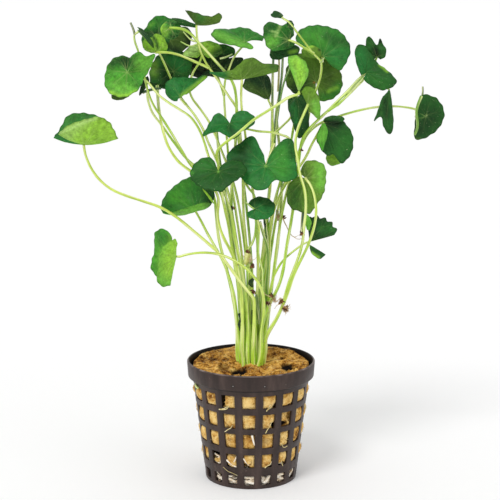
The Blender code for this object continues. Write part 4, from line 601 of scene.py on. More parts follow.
def pushes_apart(first, second):
    """How two runs that touch push each other's points, or nothing where they are clear."""
    low = np.maximum(first.points.min(axis=0), second.points.min(axis=0)) - NEAR
    high = np.minimum(first.points.max(axis=0), second.points.max(axis=0)) + NEAR
    if (low > high).any():
        return None
    apart = first.points[:, None] - second.points[None]
    need = first.radius[:, None] + second.radius[None] + STEM_GAP
    short = np.clip(need - np.linalg.norm(apart, axis=2), 0, None)
    if not short.any():
        return None
    way = apart * GIVE
    way[..., 1] += np.where(apart[..., 1] >= 0, DEPTH_START, -DEPTH_START)
    way /= np.linalg.norm(way, axis=2, keepdims=True)
    force = short[..., None] * way
    on_first, on_second = short.argmax(axis=1), short.argmax(axis=0)
    return force[np.arange(len(on_first)), on_first], -force[on_second, np.arange(len(on_second))]


def ease_apart(stems):
    """Moves runs that touch away from each other, mostly in depth, which the front doesn't show."""
    for stem in stems:
        stem.place_forks()
    runs = [run for stem in stems for run in stem.runs]
    owner = [stem.name for stem in stems for _ in stem.runs]
    pairs = [(i, j) for i in range(len(runs)) for j in range(i + 1, len(runs)) if owner[i] != owner[j]]
    for _ in range(EASE_ROUNDS):
        moved = False
        pushes = [np.zeros_like(run.points) for run in runs]
        for i, j in pairs:
            found = pushes_apart(runs[i], runs[j])
            if found:
                moved = True
                pushes[i] += found[0]
                pushes[j] += found[1]
        if not moved:
            break
        for run, push in zip(runs, pushes):
            run.points = run.points + EASE_SHARE * blurred(push) * run.freedom()[:, None]
        for stem in stems:
            for run in stem.runs[1:]:
                run.follow(stem.runs[0].points[run.joint])


STEMS = [
    Stem("stalk_low_left", (3.65, -4.9), "leaf_low_left", (1.9, 1.3), cream=0.55, route=[
        (4.2, 60, -5.5), (5.2, 70, -7), (5.3, 76, -8.5), (4.2, 81, -10), (2, 85, -11), (-1.4, 89, -12),
        (-5.4, 92, -13), (-10, 94.4, -14), (-15, 95.8, -15), (-20.5, 96.1, -16), (-26, 95.4, -16.5)]),
    Stem("stalk_far_left", (1.2, -4.9), "leaf_far_left", (2.0, 1.4), cream=0.75, route=[
        (1.1, 60, -5.5), (1.4, 70, -7), (1.2, 76.6, -8), (-1.4, 80.2, -8.5), (-5.4, 85.4, -9.5),
        (-9.4, 91, -10), (-13.2, 95.9, -10.5), (-18, 100.4, -11.5), (-24, 105.6, -13), (-30, 110.6, -14),
        (-36.6, 114.8, -15), (-44, 117.5, -16), (-50.6, 119.7, -17), (-56.5, 122.3, -18),
        (-61.5, 126.4, -18), (-65, 131.6, -18), (-66.9, 136.6, -18)]),
    Stem("stalk_left", (-5, -2.45), "leaf_left_hand", (1.9, 1.4), cream=0.15, route=[
        (-5.4, 60, -3), (-6, 70, -3.5), (-7, 78, -4), (-9, 86, -5), (-11.7, 93, -5), (-14.6, 98.4, -5),
        (-17.6, 103.8, -5), (-20.2, 109, -5.5)]),
    Stem("shoot_left_bow", (-3.7, -4.9), "leaf_back_left", (1.9, 1.4), cream=0.7, route=[
        (-3.6, 60, -5.5), (-3.5, 70, -6), (-3.9, 80, -6.5), (-5.6, 90, -7.5), (-8.4, 97, -8.5),
        (-11.2, 102.4, -9), (-13.1, 108, -9.5), (-13.6, 113, -9.5), (-13.2, 118, -9.3), (-15, 122.6, -9),
        (-19.4, 126.4, -9), (-24.4, 129.8, -8), (-29.4, 133.8, -7), (-33.2, 139.6, -6), (-35.2, 145.6, -4),
        (-36.4, 151.6, 0), (-37.2, 158, 4), (-37.6, 163.5, 8), (-35, 168, 10)]),
    Stem("shoot_left_tall", (-6.2, 0), "leaf_thin_edge", (2.1, 1.1), cream=0.1, route=[
        (-5.8, 60, 0), (-6.2, 70, -0.5), (-7.9, 80, -1), (-10.2, 90, -2), (-12.3, 98, -3),
        (-13.6, 105, -2.5), (-14.2, 112, 0), (-15, 119, 1), (-19, 126, 1.5), (-24.4, 132.4, 0),
        (-28, 138.2, -2), (-31.6, 144.4, -3), (-35.4, 150.6, -3), (-39.4, 157, -4), (-41.6, 163, -6),
        (-43, 170, -8), (-44.8, 177.5, -8.5), (-46.4, 182.4, -9.4), (-46.3, 185.4, -10)]),
    Stem("shoot_left_back", (-5, 2.45), "leaf_dark_sliver", (1.9, 1.3), cream=0.0, route=[
        (-4.4, 60, 3), (-4.6, 72, 3), (-5.6, 84, 3), (-7.4, 95, 3), (-8.8, 105, 3), (-10.4, 114, 3),
        (-13, 122, 3), (-18.6, 128.6, 3), (-25.6, 134.4, 3), (-31, 141.4, 3), (-35.6, 148, 3),
        (-39.8, 153.8, 3), (-41.6, 160, 2), (-41.6, 163.4, 0.5)]),
    Stem("shoot_left_slant", (-1.25, -4.9), "leaf_big_left", (1.8, 1.2), route=[
        (-1.4, 60, -5), (-1.6, 70, -5), (-2.4, 80, -5.5), (-4, 90, -6), (-6, 100, -6.5), (-8, 110, -7),
        (-10.8, 119, -7), (-14, 128, -6), (-17, 135.4, -6), (-18.8, 141.4, -6), (-20.8, 146.6, -6),
        (-24.2, 151.6, -6), (-28.4, 154.6, -7), (-33, 157.5, -8), (-37.2, 160.8, -9), (-41.6, 166, -10),
        (-45.6, 168.6, -10)]),
    Stem("shoot_heart", (-3.7, 0), "leaf_top_left", (1.8, 1.2), route=[
        (-2.9, 60, 0.5), (-2.8, 72, 0.5), (-3.4, 84, 0.5), (-5.2, 96, 0.5), (-7, 108, 0.5), (-9, 120, 0.5),
        (-13, 132, 0), (-17.2, 141.4, -1), (-19.6, 147.4, -2), (-23, 153, -2), (-26.4, 157.2, -1),
        (-29.6, 162, 1), (-32.2, 167.6, 2), (-34, 171.8, 2), (-35.8, 175.8, 1.5),
        (-37.4, 179, 4)], stalks=[
        ((-26.4, 157.2, -1), "leaf_heart", 1.2, [(-27.4, 158.2, -2)])]),
    Stem("shoot_mottled", (-1.25, 0), "leaf_mottled", (1.8, 1.2), route=[
        (-0.8, 60, 0.5), (-0.6, 74, 1), (-1.4, 88, 1), (-2.9, 102, 1.5), (-5, 116, 2), (-8, 128, 2.5),
        (-12, 138.4, 3), (-14.2, 144, 3), (-17, 150, 3), (-20.4, 155, 4), (-23.6, 159.4, 5),
        (-24.8, 164, 5), (-23.2, 169.5, 3), (-20.4, 174, 1.6)]),
    Stem("shoot_saddle", (2.5, -2.45), "leaf_saddle", (1.9, 1.2), cream=0.55, route=[
        (1.8, 60, -2), (1, 72, -1.5), (-0.2, 84, -1), (-1.6, 96, 0), (-2.8, 108, 0), (-3.2, 120, 0),
        (-3.4, 132, 0), (-4, 144, 0), (-5.4, 154.4, -1), (-8.4, 159.4, -2), (-11.4, 163.8, -3),
        (-14.4, 168.2, -4), (-17, 171.9, -4), (-18.6, 174.6, -4.5), (-20.2, 178.2, -6), (-21.3, 182.2, -7),
        (-21.6, 185.5, -7.5)], stalks=[
        ((-17, 171.9, -4), "leaf_light_pair", 1.3, [(-20.5, 173.2, -4.5), (-24.5, 174.9, -5.5),
            (-29, 176.7, -6.5), (-33.5, 177.6, -7.5)])]),
    Stem("shoot_round", (0, -2.45), "leaf_round_under", (2.0, 1.5), cream=0.1, route=[
        (-0.2, 60, -2.5), (-1.4, 72, -2.5), (-3.2, 84, -2), (-5.4, 96, -2), (-7.6, 108, -2), (-8, 120, -1),
        (-7, 132, 0), (-6, 144, -0.5), (-5.6, 156, -2), (-6.4, 163, -3), (-8.2, 167.2, -3.5),
        (-10.2, 169.7, -5), (-13, 172.8, -7), (-16.6, 176.8, -8.5), (-20.4, 181, -10), (-23.4, 184.4, -11),
        (-26, 186.3, -11.5), (-28.6, 187.1, -11.8)]),
    Stem("shoot_crest", (-2.5, 2.45), "leaf_crest", (1.8, 1.1), route=[
        (-2, 60, 3), (-2.2, 74, 4), (-3, 88, 4), (-4.6, 102, 4), (-6.6, 116, 4), (-8.6, 130, 4),
        (-9.8, 144, 4), (-10.4, 153, 4), (-10.8, 161, 4), (-10.2, 167, 4), (-8.8, 171, 4),
        (-6.6, 176, 4.5)], stalks=[
        ((-10.8, 161, 4), "leaf_back_middle", 1.2, [(-12.4, 165.6, 8), (-13.6, 168.7, 11.5)])]),
    Stem("shoot_wide", (1.2, 0), "leaf_wide_curl", (1.9, 1.3), cream=0.8, route=[
        (1.4, 60, 0), (2.2, 72, 0), (2.8, 84, 0), (2.8, 96, 0), (2.2, 108, 1), (1, 120, 2), (-0.6, 132, 2),
        (-2.6, 144, 1), (-4, 154, -2), (-4, 161, -4.5)], stalks=[
        ((2.8, 96, 0), "leaf_small_dark", 1.2, [(3.1, 102, -3), (3.2, 107.5, -7)])]),
    Stem("shoot_arch", (-2.5, -2.45), "leaf_light_folded", (1.8, 1.5), cream=0.4, route=[
        (-2.8, 60, -3), (-3.8, 72, -3.5), (-5.4, 84, -4), (-7.4, 96, -5), (-9, 108, -6), (-10.8, 118, -7),
        (-12.6, 127, -8.5), (-13.2, 132.5, -10.5), (-13.9, 137, -12.5), (-12.2, 139.8, -14),
        (-9, 142.4, -14.5), (-5.6, 144.9, -15), (-2.4, 147.7, -15), (1, 150.6, -14.5), (6, 153.8, -13.5),
        (11, 157, -13), (15.2, 159.7, -12.5)], stalks=[
        ((-13.2, 132.5, -10.5), "leaf_kidney_left", 1.3, [(-13.2, 130.6, -11.6)])]),
    Stem("shoot_fork_right", (5, -2.45), "leaf_light_right", (2.0, 1.4), cream=0.35, route=[
        (5.6, 57, -3), (7.2, 61.6, -4), (9.4, 66, -5), (11.6, 70.6, -6), (13.2, 74.4, -6.5),
        (15.4, 80, -8), (17.6, 86.8, -9), (20.2, 92.6, -10), (22.8, 98, -12), (24.8, 103.4, -14),
        (26, 108, -15), (26.5, 112.2, -15), (26.3, 116.6, -14), (25.5, 120.6, -13),
        (24, 124.2, -11)], stalks=[
        ((13.2, 74.4, -6.5), "leaf_under_right", 1.5, [(14.4, 79.6, -5.5), (16.1, 85, -5.5),
            (18, 90.2, -6), (20, 96, -8), (21.2, 101.4, -10), (21.6, 106.6, -12), (22.2, 112, -13),
            (22.3, 118, -13.5), (21.6, 122.8, -14), (20.3, 127, -14.5), (19.4, 130.8, -14),
            (18.9, 134.6, -13), (18.2, 138, -12), (17.9, 141.6, -11.5), (18.5, 145.6, -11),
            (19.8, 149.6, -10.5), (21.3, 153.2, -9.5)])]),
    Stem("shoot_middle", (2.5, 2.45), "leaf_heart_middle", (1.9, 1.2), route=[
        (2.8, 60, 3), (4, 72, 4), (5.6, 84, 5), (7, 96, 6), (8.6, 108, 7), (10.6, 120, 8), (13.4, 130, 7),
        (16.4, 137.4, 5), (15.6, 142.8, 3), (12, 144.6, 1.5), (8, 145.6, 0), (3, 146, -1.5),
        (-2, 147, -3)]),
    Stem("shoot_kidney", (3.65, 0), "leaf_kidney", (2.0, 1.5), cream=0.0, route=[
        (4, 60, -0.5), (5.4, 68, -1), (7.6, 74.6, -1.5), (9.8, 78.8, -2), (11.8, 83.4, -2.5),
        (13.4, 89, -2.5), (14.6, 95, -2.5), (15.4, 101, -2.5), (16.2, 107.4, -2), (17, 113.4, -1),
        (18, 122, 0), (19, 130, 0), (19.8, 138, 0), (20.8, 142.6, 0), (23, 146.4, 0), (26.6, 150.2, 0),
        (30.4, 153.8, 1), (34.6, 158, 3), (38.8, 162.2, 5), (42.4, 166.2, 7)], stalks=[
        ((30.4, 153.8, 1), "leaf_curly", 1.2, [(34.4, 156.4, 2), (38.6, 160.2, 4), (42.4, 164, 7),
            (45.6, 167.4, 9.5), (48.6, 172, 11.5)]),
        ((42.4, 166.2, 7), "leaf_narrow_hanging", 1.0, [(46, 167, 9), (50, 166.3, 9), (54, 164.4, 7)])]),
    Stem("shoot_far_right", (6.1, 0), "leaf_far_right", (2.0, 1.2), route=[
        (5.6, 60, 0), (6.6, 70, 0), (7.8, 79, 0), (9.2, 86, 0), (9.8, 92, 0.5), (10.8, 100, 1),
        (12.2, 110, 2), (14.2, 120, 3), (17, 130, 4), (19.6, 138, 4), (22, 143.6, 4), (25, 147.2, 4.5),
        (28.6, 149.6, 5.5), (33, 151.3, 6.5), (38, 152.9, 7), (43.4, 154.4, 7.5), (49.4, 155.6, 8),
        (56, 156.1, 8), (62, 155.7, 8), (66.5, 154.7, 8)], stalks=[
        ((9.2, 86, 0), "leaf_scalloped", 1.1, [(12.2, 91.8, -1), (15.4, 95.4, -3), (18.8, 98, -4),
            (21.4, 99.8, -5)])]),
    Stem("shoot_right_round", (5, 2.45), "leaf_right_round", (2.0, 1.4), cream=0.7, route=[
        (5, 60, 3), (5.9, 72, 3.5), (6.8, 84, 4), (7.3, 94, 4.5), (7.2, 102, 5), (8, 110, 6),
        (10.6, 118, 7), (15, 126, 7), (19.6, 131.6, 5.5), (22.4, 136, 4), (24.6, 140.8, 3), (26.4, 144, 4),
        (28, 147, 3.5)]),
    Stem("shoot_pale_tall", (0, 2.45), "leaf_dark_middle", (2.0, 1.3), cream=0.7, route=[
        (0.6, 60, 3.5), (1.8, 72, 4), (3.4, 84, 4.5), (5.2, 96, 5), (6.6, 108, 5.5), (7.6, 120, 6),
        (8.4, 132, 6), (8.8, 144, 6.5), (8.6, 152, 7), (8.3, 155.5, 5.5)], stalks=[
        ((8.8, 144, 6.5), "leaf_kidney_middle", 1.4, [(8.6, 140.4, 2), (7.6, 136.2, -4),
            (6.8, 133.6, -7.5)]),
        ((8.8, 144, 6.5), "leaf_dark_hanging", 1.2, [(12.6, 147.8, 8), (16.5, 152.5, 7)])]),
    Stem("shoot_crinkled", (3.65, 4.9), "leaf_tip", (2.0, 1.1), route=[
        (3.6, 60, 5.5), (4.8, 72, 6), (6.2, 84, 6.5), (7.8, 96, 7), (9.6, 108, 8), (12, 120, 9),
        (15.6, 130, 9), (19.4, 138, 8), (21.8, 145, 7), (23, 151, 6), (24.2, 157, 5), (26, 162.4, 4),
        (27.6, 167.2, 2), (28.1, 171, 0), (27.9, 174, -1), (25, 177, -3), (21.8, 181, -5),
        (17.8, 186.2, -7.5), (15, 189.6, -8)], stalks=[
        ((25, 177, -3), "leaf_crinkled", 1.2, [(20.6, 179.8, -5.5), (17.6, 181.6, -6.5)]),
        ((27.9, 174, -1), "leaf_big_round", 1.3, [(28.5, 173.8, 1.5)])]),
    Stem("shoot_big_dark", (1.2, 4.9), "leaf_big_dark", (1.9, 1.3), cream=0.0, route=[
        (1.6, 60, 6), (3, 74, 7), (4.8, 88, 8), (6.8, 102, 9), (9.4, 116, 10), (12.6, 128, 11),
        (15.8, 140, 11), (18, 152, 12), (21.4, 160, 13)]),
]


# Node trees


class Value:
    """What a node gives out. Arithmetic on it adds the maths nodes that work it out."""

    def __init__(self, network, socket):
        self.network = network
        self.socket = socket

    def other(self, name):
        """Another output of the same node."""
        return Value(self.network, self.socket.node.outputs[name])

    def __add__(self, more):
        return self.network.math("ADD", self, more)

    def __sub__(self, less):
        return self.network.math("SUBTRACT", self, less)

    def __rsub__(self, whole):
        return self.network.math("SUBTRACT", whole, self)

    def __mul__(self, times):
        return self.network.math("MULTIPLY", self, times)

    def __truediv__(self, parts):
        return self.network.math("DIVIDE", self, parts)

    def __abs__(self):
        return self.network.math("ABSOLUTE", self)


class Network:
    """A tree of nodes being built, with short calls for its nodes."""

    def __init__(self, tree):
        self.tree = tree

    def feed(self, socket, value):
        if isinstance(value, Value):
            self.tree.links.new(value.socket, socket)
        elif socket.type == "RGBA" and len(value) == 3:
            socket.default_value = (*value, 1.0)
        else:
            socket.default_value = value

    def node(self, kind, inputs=None, output=0, **settings):
        made = self.tree.nodes.new(kind)
        for name, value in settings.items():
            setattr(made, name, value)
        for name, value in (inputs or {}).items():
            self.feed(made.inputs[name], value)
        return Value(self, made.outputs[output])

    def math(self, operation, first, second=0.0, clamp=False):
        return self.node("ShaderNodeMath", {0: first, 1: second}, operation=operation, use_clamp=clamp)

    def joined(self, **parts):
        """A vector from its named parts."""
        return self.node("ShaderNodeCombineXYZ", parts)


class Finish(Network):
    """A material being built."""

    def __init__(self, name, roughness, **sockets):
        self.material = bpy.data.materials.new(name)
        self.material.use_nodes = True
        super().__init__(self.material.node_tree)
        self.shader = self.tree.nodes["Principled BSDF"]
        for socket, value in sockets.items():
            self.feed(self.shader.inputs[socket.replace("_", " ")], value)
        self.feed(self.shader.inputs["Roughness"], roughness)

    def vector_math(self, operation, first, second=(0.0, 0.0, 0.0), output=0):
        return self.node("ShaderNodeVectorMath", {0: first, 1: second}, output, operation=operation)

    def split(self, vector):
        made = self.node("ShaderNodeSeparateXYZ", {"Vector": vector})
        return made, made.other("Y"), made.other("Z")

    def fade(self, value, start, end):
        """1 below the start, 0 above the end, and smooth between them."""
        ends = {"Value": value, "From Min": start, "From Max": end, "To Min": 1.0, "To Max": 0.0}
        return self.node("ShaderNodeMapRange", ends, interpolation_type="SMOOTHSTEP")

    def past(self, value, start, end):
        """0 below the start, 1 above the end, and smooth between them."""
        return 1.0 - self.fade(value, start, end)

    def place(self, stretch=(1.0, 1.0, 1.0)):
        where = self.node("ShaderNodeTexCoord", output="Object")
        return self.node("ShaderNodeMapping", {"Vector": where, "Scale": stretch})

    def noise(self, size, detail=3.0, stretch=(1.0, 1.0, 1.0), rough=0.55):
        """Noise whose lumps are about this many millimetres across."""
        return self.node("ShaderNodeTexNoise", {"Vector": self.place(stretch), "Scale": 1.0 / (size * MM),
                                                "Detail": detail, "Roughness": rough})

    def cells(self, size):
        """The distance from the edges of cells about this many millimetres across."""
        return self.node("ShaderNodeTexVoronoi", {"Vector": self.place(), "Scale": 1.0 / (size * MM)},
                         feature="DISTANCE_TO_EDGE")

    def ramp(self, value, stops):
        made = self.node("ShaderNodeValToRGB", {"Fac": value})
        elements = made.socket.node.color_ramp.elements
        while len(elements) < len(stops):
            elements.new(0.5)
        for element, (place, colour) in zip(elements, stops):
            element.position = place
            element.color = (*colour, 1.0)
        return made

    def blend(self, share, low, high):
        return self.node("ShaderNodeMix", {0: share, 6: low, 7: high}, 2, data_type="RGBA")

    def bump(self, height, depth, strength=0.6, under=None):
        inputs = {"Height": height, "Strength": strength, "Distance": depth * MM}
        if under:
            inputs["Normal"] = under
        return self.node("ShaderNodeBump", inputs)

    def attribute(self, name, output="Fac"):
        return self.node("ShaderNodeAttribute", output=output, attribute_name=name)

    def done(self, colour, normal, roughness=None):
        self.feed(self.shader.inputs["Base Color"], colour)
        self.feed(self.shader.inputs["Normal"], normal)
        if roughness:
            self.feed(self.shader.inputs["Roughness"], roughness)
        return self.material


# Materials


def leaf_finish(name, vein_rise, paleness, roughness):
    """Blade tissue: short rays round the hub, main veins to the rim that fork, and a net between them."""
    made = Finish(name, roughness, Specular_IOR_Level=0.14)
    tone = made.attribute("tone", "Color")
    width = made.attribute("width")
    clear = made.attribute("vein_light")
    turns, share, _ = made.split(made.node("ShaderNodeUVMap", uv_map="blade"))
    wander, tissue_shade, streaks_round, streaks_out = 0.22, 1.28, 4.0, 5.0
    around = turns + (made.noise(3.5, 2.0) - 0.5) * wander

    def beside(turns):
        """How far a place is from the nearest line, as a share of the space between lines."""
        return abs(made.math("FRACT", turns) - 0.5)

    def fork(start, spread, thick):
        """The two branches that leave a main vein at the start, as a share of the way to the rim."""
        open_by = made.math("DIVIDE", share - start, 1.0 - start, clamp=True)
        line = made.fade(abs(off_main - open_by * spread) * width, 0.02, thick)
        return line * made.math("GREATER_THAN", share, start)

    off_main = beside(around)
    main = made.fade(off_main * width, 0.03, 0.32 - share * 0.2)
    rays = made.fade(beside(around * 2.0) * width, 0.02, 0.2) * made.fade(share, 0.12, 0.42)
    forks = made.math("MAXIMUM", fork(0.28, 0.3, 0.2), fork(0.55, 0.44, 0.15))
    net = made.fade(made.cells(1.4), 0.02, 0.1)
    near_hub = 1.0 - share * 0.78
    lines = main * near_hub * 0.34 + rays * 0.55 + forks * 0.1 + net * 0.04
    lines = made.math("MULTIPLY", lines, clear, clamp=True)
    spun = made.joined(X=around * streaks_round, Y=share * streaks_out)
    radial = made.node("ShaderNodeTexNoise", {"Vector": spun, "Scale": 1.0})
    patches = (made.noise(2.2, 4.0) - 0.5) * 0.8 + (made.noise(0.7, 4.0) - 0.5) * 0.75 + (radial - 0.5) * 0.75
    mottle = patches * (clear * 0.5 + 0.7) + tissue_shade - made.fade(share, 1.0, 0.93) * 0.3
    tissue = made.vector_math("MULTIPLY", tone, mottle)
    colour = made.blend(lines, tissue, made.blend(paleness, tone, srgb(190, 218, 128)))
    # Painted highlights: small pale specks that stand in for glints on the tissue.
    glint_specks = made.past(made.noise(0.5, 2.0), 0.7, 0.76)
    colour = made.blend(glint_specks * 0.55, colour, srgb(206, 226, 170))
    ridges = made.math("MAXIMUM", made.math("MAXIMUM", main, rays), forks)
    height = ridges * vein_rise + net * (0.35 * vein_rise) + made.noise(0.9, 4.0) * 0.8
    rough = made.noise(1.4, 3.0) * 0.25 + (roughness - 0.12)
    return made.done(colour, made.bump(height, 0.12, 0.6), rough)


def stem_finish():
    """Juicy stalks: stripes of painted highlight and of darker painted shade, and fine streaks, all running
    along them under a thin wet gloss.
    """
    made = Finish("cress_stalk", 0.34, Specular_IOR_Level=0.5, Coat_Weight=0.4, Coat_Roughness=0.15)
    tone = made.attribute("tone", "Color")
    ring = made.attribute("ring", "Vector")
    along = made.attribute("along")

    def lengthwise(across, stretch, detail):
        """Noise that runs along a stalk: this fine across it, and this many mm long."""
        round_it = made.vector_math("MULTIPLY", ring, (across, across, 0.0))
        place = made.vector_math("ADD", round_it, made.joined(Z=along / stretch))
        return made.node("ShaderNodeTexNoise", {"Vector": place, "Scale": 1.0, "Detail": detail})

    sheen_and_shade_bands = lengthwise(0.85, 16.0, 1.5)
    streaks = lengthwise(3.2, 7.0, 4.0)
    patches = made.noise(2.4, 3.0)
    shaded = made.vector_math("MULTIPLY", tone, streaks * 0.9 + patches * 0.5 + 0.3)
    # Painted highlight: near-white stripes where the band noise is high, in place of the light on the stalks.
    pale = made.blend(0.66, shaded, srgb(250, 252, 178))
    colour = made.blend(made.past(sheen_and_shade_bands, 0.46, 0.6), shaded, pale)
    # Painted shade: darker green stripes where the band noise is low, standing in for the stalks' shaded
    # edges.
    colour = made.blend(made.fade(sheen_and_shade_bands, 0.3, 0.44) * 0.45, colour, srgb(96, 140, 30))
    return made.done(colour, made.bump(streaks, 0.08, 0.4), patches * 0.2 + 0.22)


def joint_finish():
    """Bark-like brown of the swollen joints."""
    made = Finish("brown_joint", 0.6)
    tones = [(0.35, srgb(36, 20, 12)), (0.5, srgb(92, 52, 24)), (0.7, srgb(176, 122, 56))]
    return made.done(made.ramp(made.noise(0.9, 4.0), tones), made.bump(made.noise(0.35, 4.0), 0.15, 0.7))


def pot_finish():
    """Moulded brown-black plastic with flow marks and scuffs, painted with light and shade: a painted
    highlight along the lip, painted shade inside and under the rim band, and two mould dots painted as a
    highlight in a ring of shade.
    """
    made = Finish("dark_pot_plastic", 0.42, Specular_IOR_Level=0.3)
    flow = made.noise(5.0, 4.0, stretch=(1.0, 1.0, 0.2))
    colour = made.ramp(flow, [(0.25, srgb(38, 29, 25)), (0.5, srgb(57, 44, 40)), (0.75, srgb(82, 66, 60))])
    scuffs = made.fade(made.noise(0.8, 6.0, rough=0.75), 0.62, 0.74)
    colour = made.blend(scuffs, srgb(122, 108, 102), colour)
    place = made.node("ShaderNodeTexCoord", output="Object")
    up = made.split(place)[2] / MM
    flat = made.vector_math("MULTIPLY", place, (1.0, 1.0, 0.0))
    radius = made.vector_math("LENGTH", flat, output="Value") / MM
    # Painted shadow: a dark line just under the rim band, where it overhangs the wall.
    band_shadow = made.past(up, BAND_BOTTOM - 0.5, BAND_BOTTOM) * made.fade(up, BAND_BOTTOM + 0.2, BAND_BOTTOM + 0.7)
    colour = made.blend(band_shadow * 0.8, colour, srgb(18, 13, 12))
    # Painted highlight: a pale broken line along the top of the lip.
    lip = made.past(up, POT_HEIGHT - 0.5, POT_HEIGHT - 0.25) * made.past(made.noise(5.0, 2.0), 0.35, 0.75)
    colour = made.blend(lip, colour, srgb(138, 122, 116))
    # Painted shade: the inside of the wall above the band's foot is near black.
    inside_shade = made.fade(radius, RIM_RADIUS - 0.75, RIM_RADIUS - 0.55)
    colour = made.blend(inside_shade * made.past(up, BAND_BOTTOM, BAND_BOTTOM + 1), colour, srgb(12, 9, 9))
    # The two mould dots are real, but painted rather than modelled: a dark ring of painted shade round a pale
    # centre of painted highlight.
    for x in MOULD_DOTS:
        middle = (x * MM, -math.sqrt(DOT_RADIUS ** 2 - x * x) * MM, DOT_HEIGHT * MM)
        away = made.vector_math("DISTANCE", place, middle, "Value") / MM
        colour = made.blend(made.fade(away, 0.42, 0.62), colour, srgb(14, 10, 10))
        colour = made.blend(made.fade(away, 0.1, 0.28), colour, srgb(176, 166, 160))
    waves = made.bump(made.noise(4.0, 2.0), 0.3, 0.25)
    grain = made.bump(made.noise(0.3, 3.0), 0.04, 0.4, waves)
    return made.done(colour, grain, made.noise(2.2, 4.0) * 0.3 + 0.28)


def rockwool_finish():
    """Fibre wool golden brown on top with darker rotted patches, painted paler in the windows against the
    shade of the pot's wall, and painted near black as shade in its holes and gaps.
    """
    made = Finish("rockwool", 0.95, Specular_IOR_Level=0.15)
    clumps = made.noise(3.8, 5.0, rough=0.62)
    crumbs = made.noise(0.9, 5.0, rough=0.7)
    hairs = made.noise(0.5, 4.0, stretch=(1.0, 1.0, 0.3))
    level = clumps * 0.95 + crumbs * 0.6 + made.noise(9.0, 2.0) * 0.45 - 0.485
    top_tone = made.ramp(level, [(0.3, srgb(66, 34, 8)), (0.42, srgb(132, 84, 26)), (0.5, srgb(182, 128, 50)),
                               (0.58, srgb(222, 166, 78)), (0.7, srgb(250, 208, 122))])
    window_tone_lifted = made.ramp(level, [(0.28, srgb(120, 74, 24)), (0.4, srgb(190, 138, 64)), (0.5, srgb(222, 176, 94)),
                              (0.62, srgb(246, 210, 136))])
    up = made.split(made.place())[2]
    # Painted light: the wool in the windows is made paler to lift the shade that the pot's wall casts on it.
    colour = made.blend(made.fade(up, 41.0 * MM, 45.0 * MM), top_tone, window_tone_lifted)
    colour = made.blend(made.fade(hairs, 0.6, 0.72), srgb(246, 216, 150), colour)
    # Painted shade: near black in the wool's holes and gaps.
    colour = made.blend(made.attribute("pit"), colour, srgb(16, 9, 6))
    lumps = made.bump(clumps * 1.2 + crumbs * 0.7, 0.9, 0.8)
    return made.done(colour, made.bump(hairs, 0.25, 0.6, lumps))


def plain_finish(name, dark, mid, light, size, roughness):
    """A finish of three tones in lumps of about this size, in mm."""
    made = Finish(name, roughness, Specular_IOR_Level=0.3)
    tones = [(0.3, srgb(*dark)), (0.5, srgb(*mid)), (0.72, srgb(*light))]
    grain = made.bump(made.noise(size * 0.4, 3.0), 0.1, 0.5)
    return made.done(made.ramp(made.noise(size, 4.0), tones), grain)


# Meshes and Geometry Nodes


def link(made):
    bpy.context.scene.collection.objects.link(made)
    return made


def dress(made, node):
    """Puts a finished piece on the one body, in place of its node."""
    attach(made, "root")
    if node:
        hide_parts(node)
    return made


def mesh_object(name, points, faces, materials, edges=()):
    mesh = bpy.data.meshes.new(name)
    mesh.from_pydata([tuple(p) for p in np.asarray(points) * MM], list(edges), faces)
    for each in materials:
        mesh.materials.append(each)
    if len(faces):
        mesh.shade_smooth()
    return link(bpy.data.objects.new(name, mesh))


def store(mesh, name, values, kind="FLOAT"):
    """Gives each of a mesh's points a number or a colour of its own."""
    layer = mesh.attributes.new(name, kind, "POINT")
    field = "color" if kind == "FLOAT_COLOR" else "value"
    layer.data.foreach_set(field, np.asarray(values, np.float32).ravel())


class Growth(Network):
    """A Geometry Nodes tree being built, whose inputs have a name and a kind each."""

    def __init__(self, name, inputs):
        super().__init__(bpy.data.node_groups.new(name, "GeometryNodeTree"))
        kinds = {"Geometry": "Geometry", **inputs, "Finish": "Material"}
        for label, kind in kinds.items():
            self.tree.interface.new_socket(label, in_out="INPUT", socket_type="NodeSocket" + kind)
        self.tree.interface.new_socket("Geometry", in_out="OUTPUT", socket_type="NodeSocketGeometry")
        start = self.tree.nodes.new("NodeGroupInput")
        self.given = {label: Value(self, start.outputs[label]) for label in kinds}

    def geo(self, kind, **inputs):
        return self.node("GeometryNode" + kind, {name.replace("_", " "): fed for name, fed in inputs.items()})

    def named(self, attribute):
        return self.geo("InputNamedAttribute", Name=attribute)

    def random(self, low, high, seed):
        """A random number, or a random vector, between two ends."""
        kind, first, output = ("FLOAT", 2, 1) if isinstance(low, float) else ("FLOAT_VECTOR", 0, 0)
        ends = {first: low, first + 1: high, "Seed": seed}
        return self.node("FunctionNodeRandomValue", ends, output, data_type=kind)

    def end(self, geometry):
        """Every tree ends with real, smooth geometry in its material."""
        smooth = self.geo("SetShadeSmooth", Geometry=geometry)
        real = self.geo("RealizeInstances", Geometry=smooth)
        finish = self.geo("SetMaterial", Geometry=real, Material=self.given["Finish"])
        self.feed(self.tree.nodes.new("NodeGroupOutput").inputs[0], finish)
        return self.tree


def grow(source, tree, **inputs):
    modifier = source.modifiers.new(tree.name, "NODES")
    modifier.node_group = tree
    for item in tree.interface.items_tree:
        if item.in_out == "INPUT" and item.name in inputs:
            modifier[item.identifier] = inputs[item.name]
    return source


def as_plain_mesh(source, name):
    """The evaluated source as a plain mesh object, in the source's stead."""
    bpy.context.view_layer.update()
    graph = bpy.context.evaluated_depsgraph_get()
    mesh = bpy.data.meshes.new_from_object(source.evaluated_get(graph), preserve_all_data_layers=True,
                                           depsgraph=graph)
    mesh.name = name
    bpy.data.objects.remove(source, do_unlink=True)
    return link(bpy.data.objects.new(name, mesh))


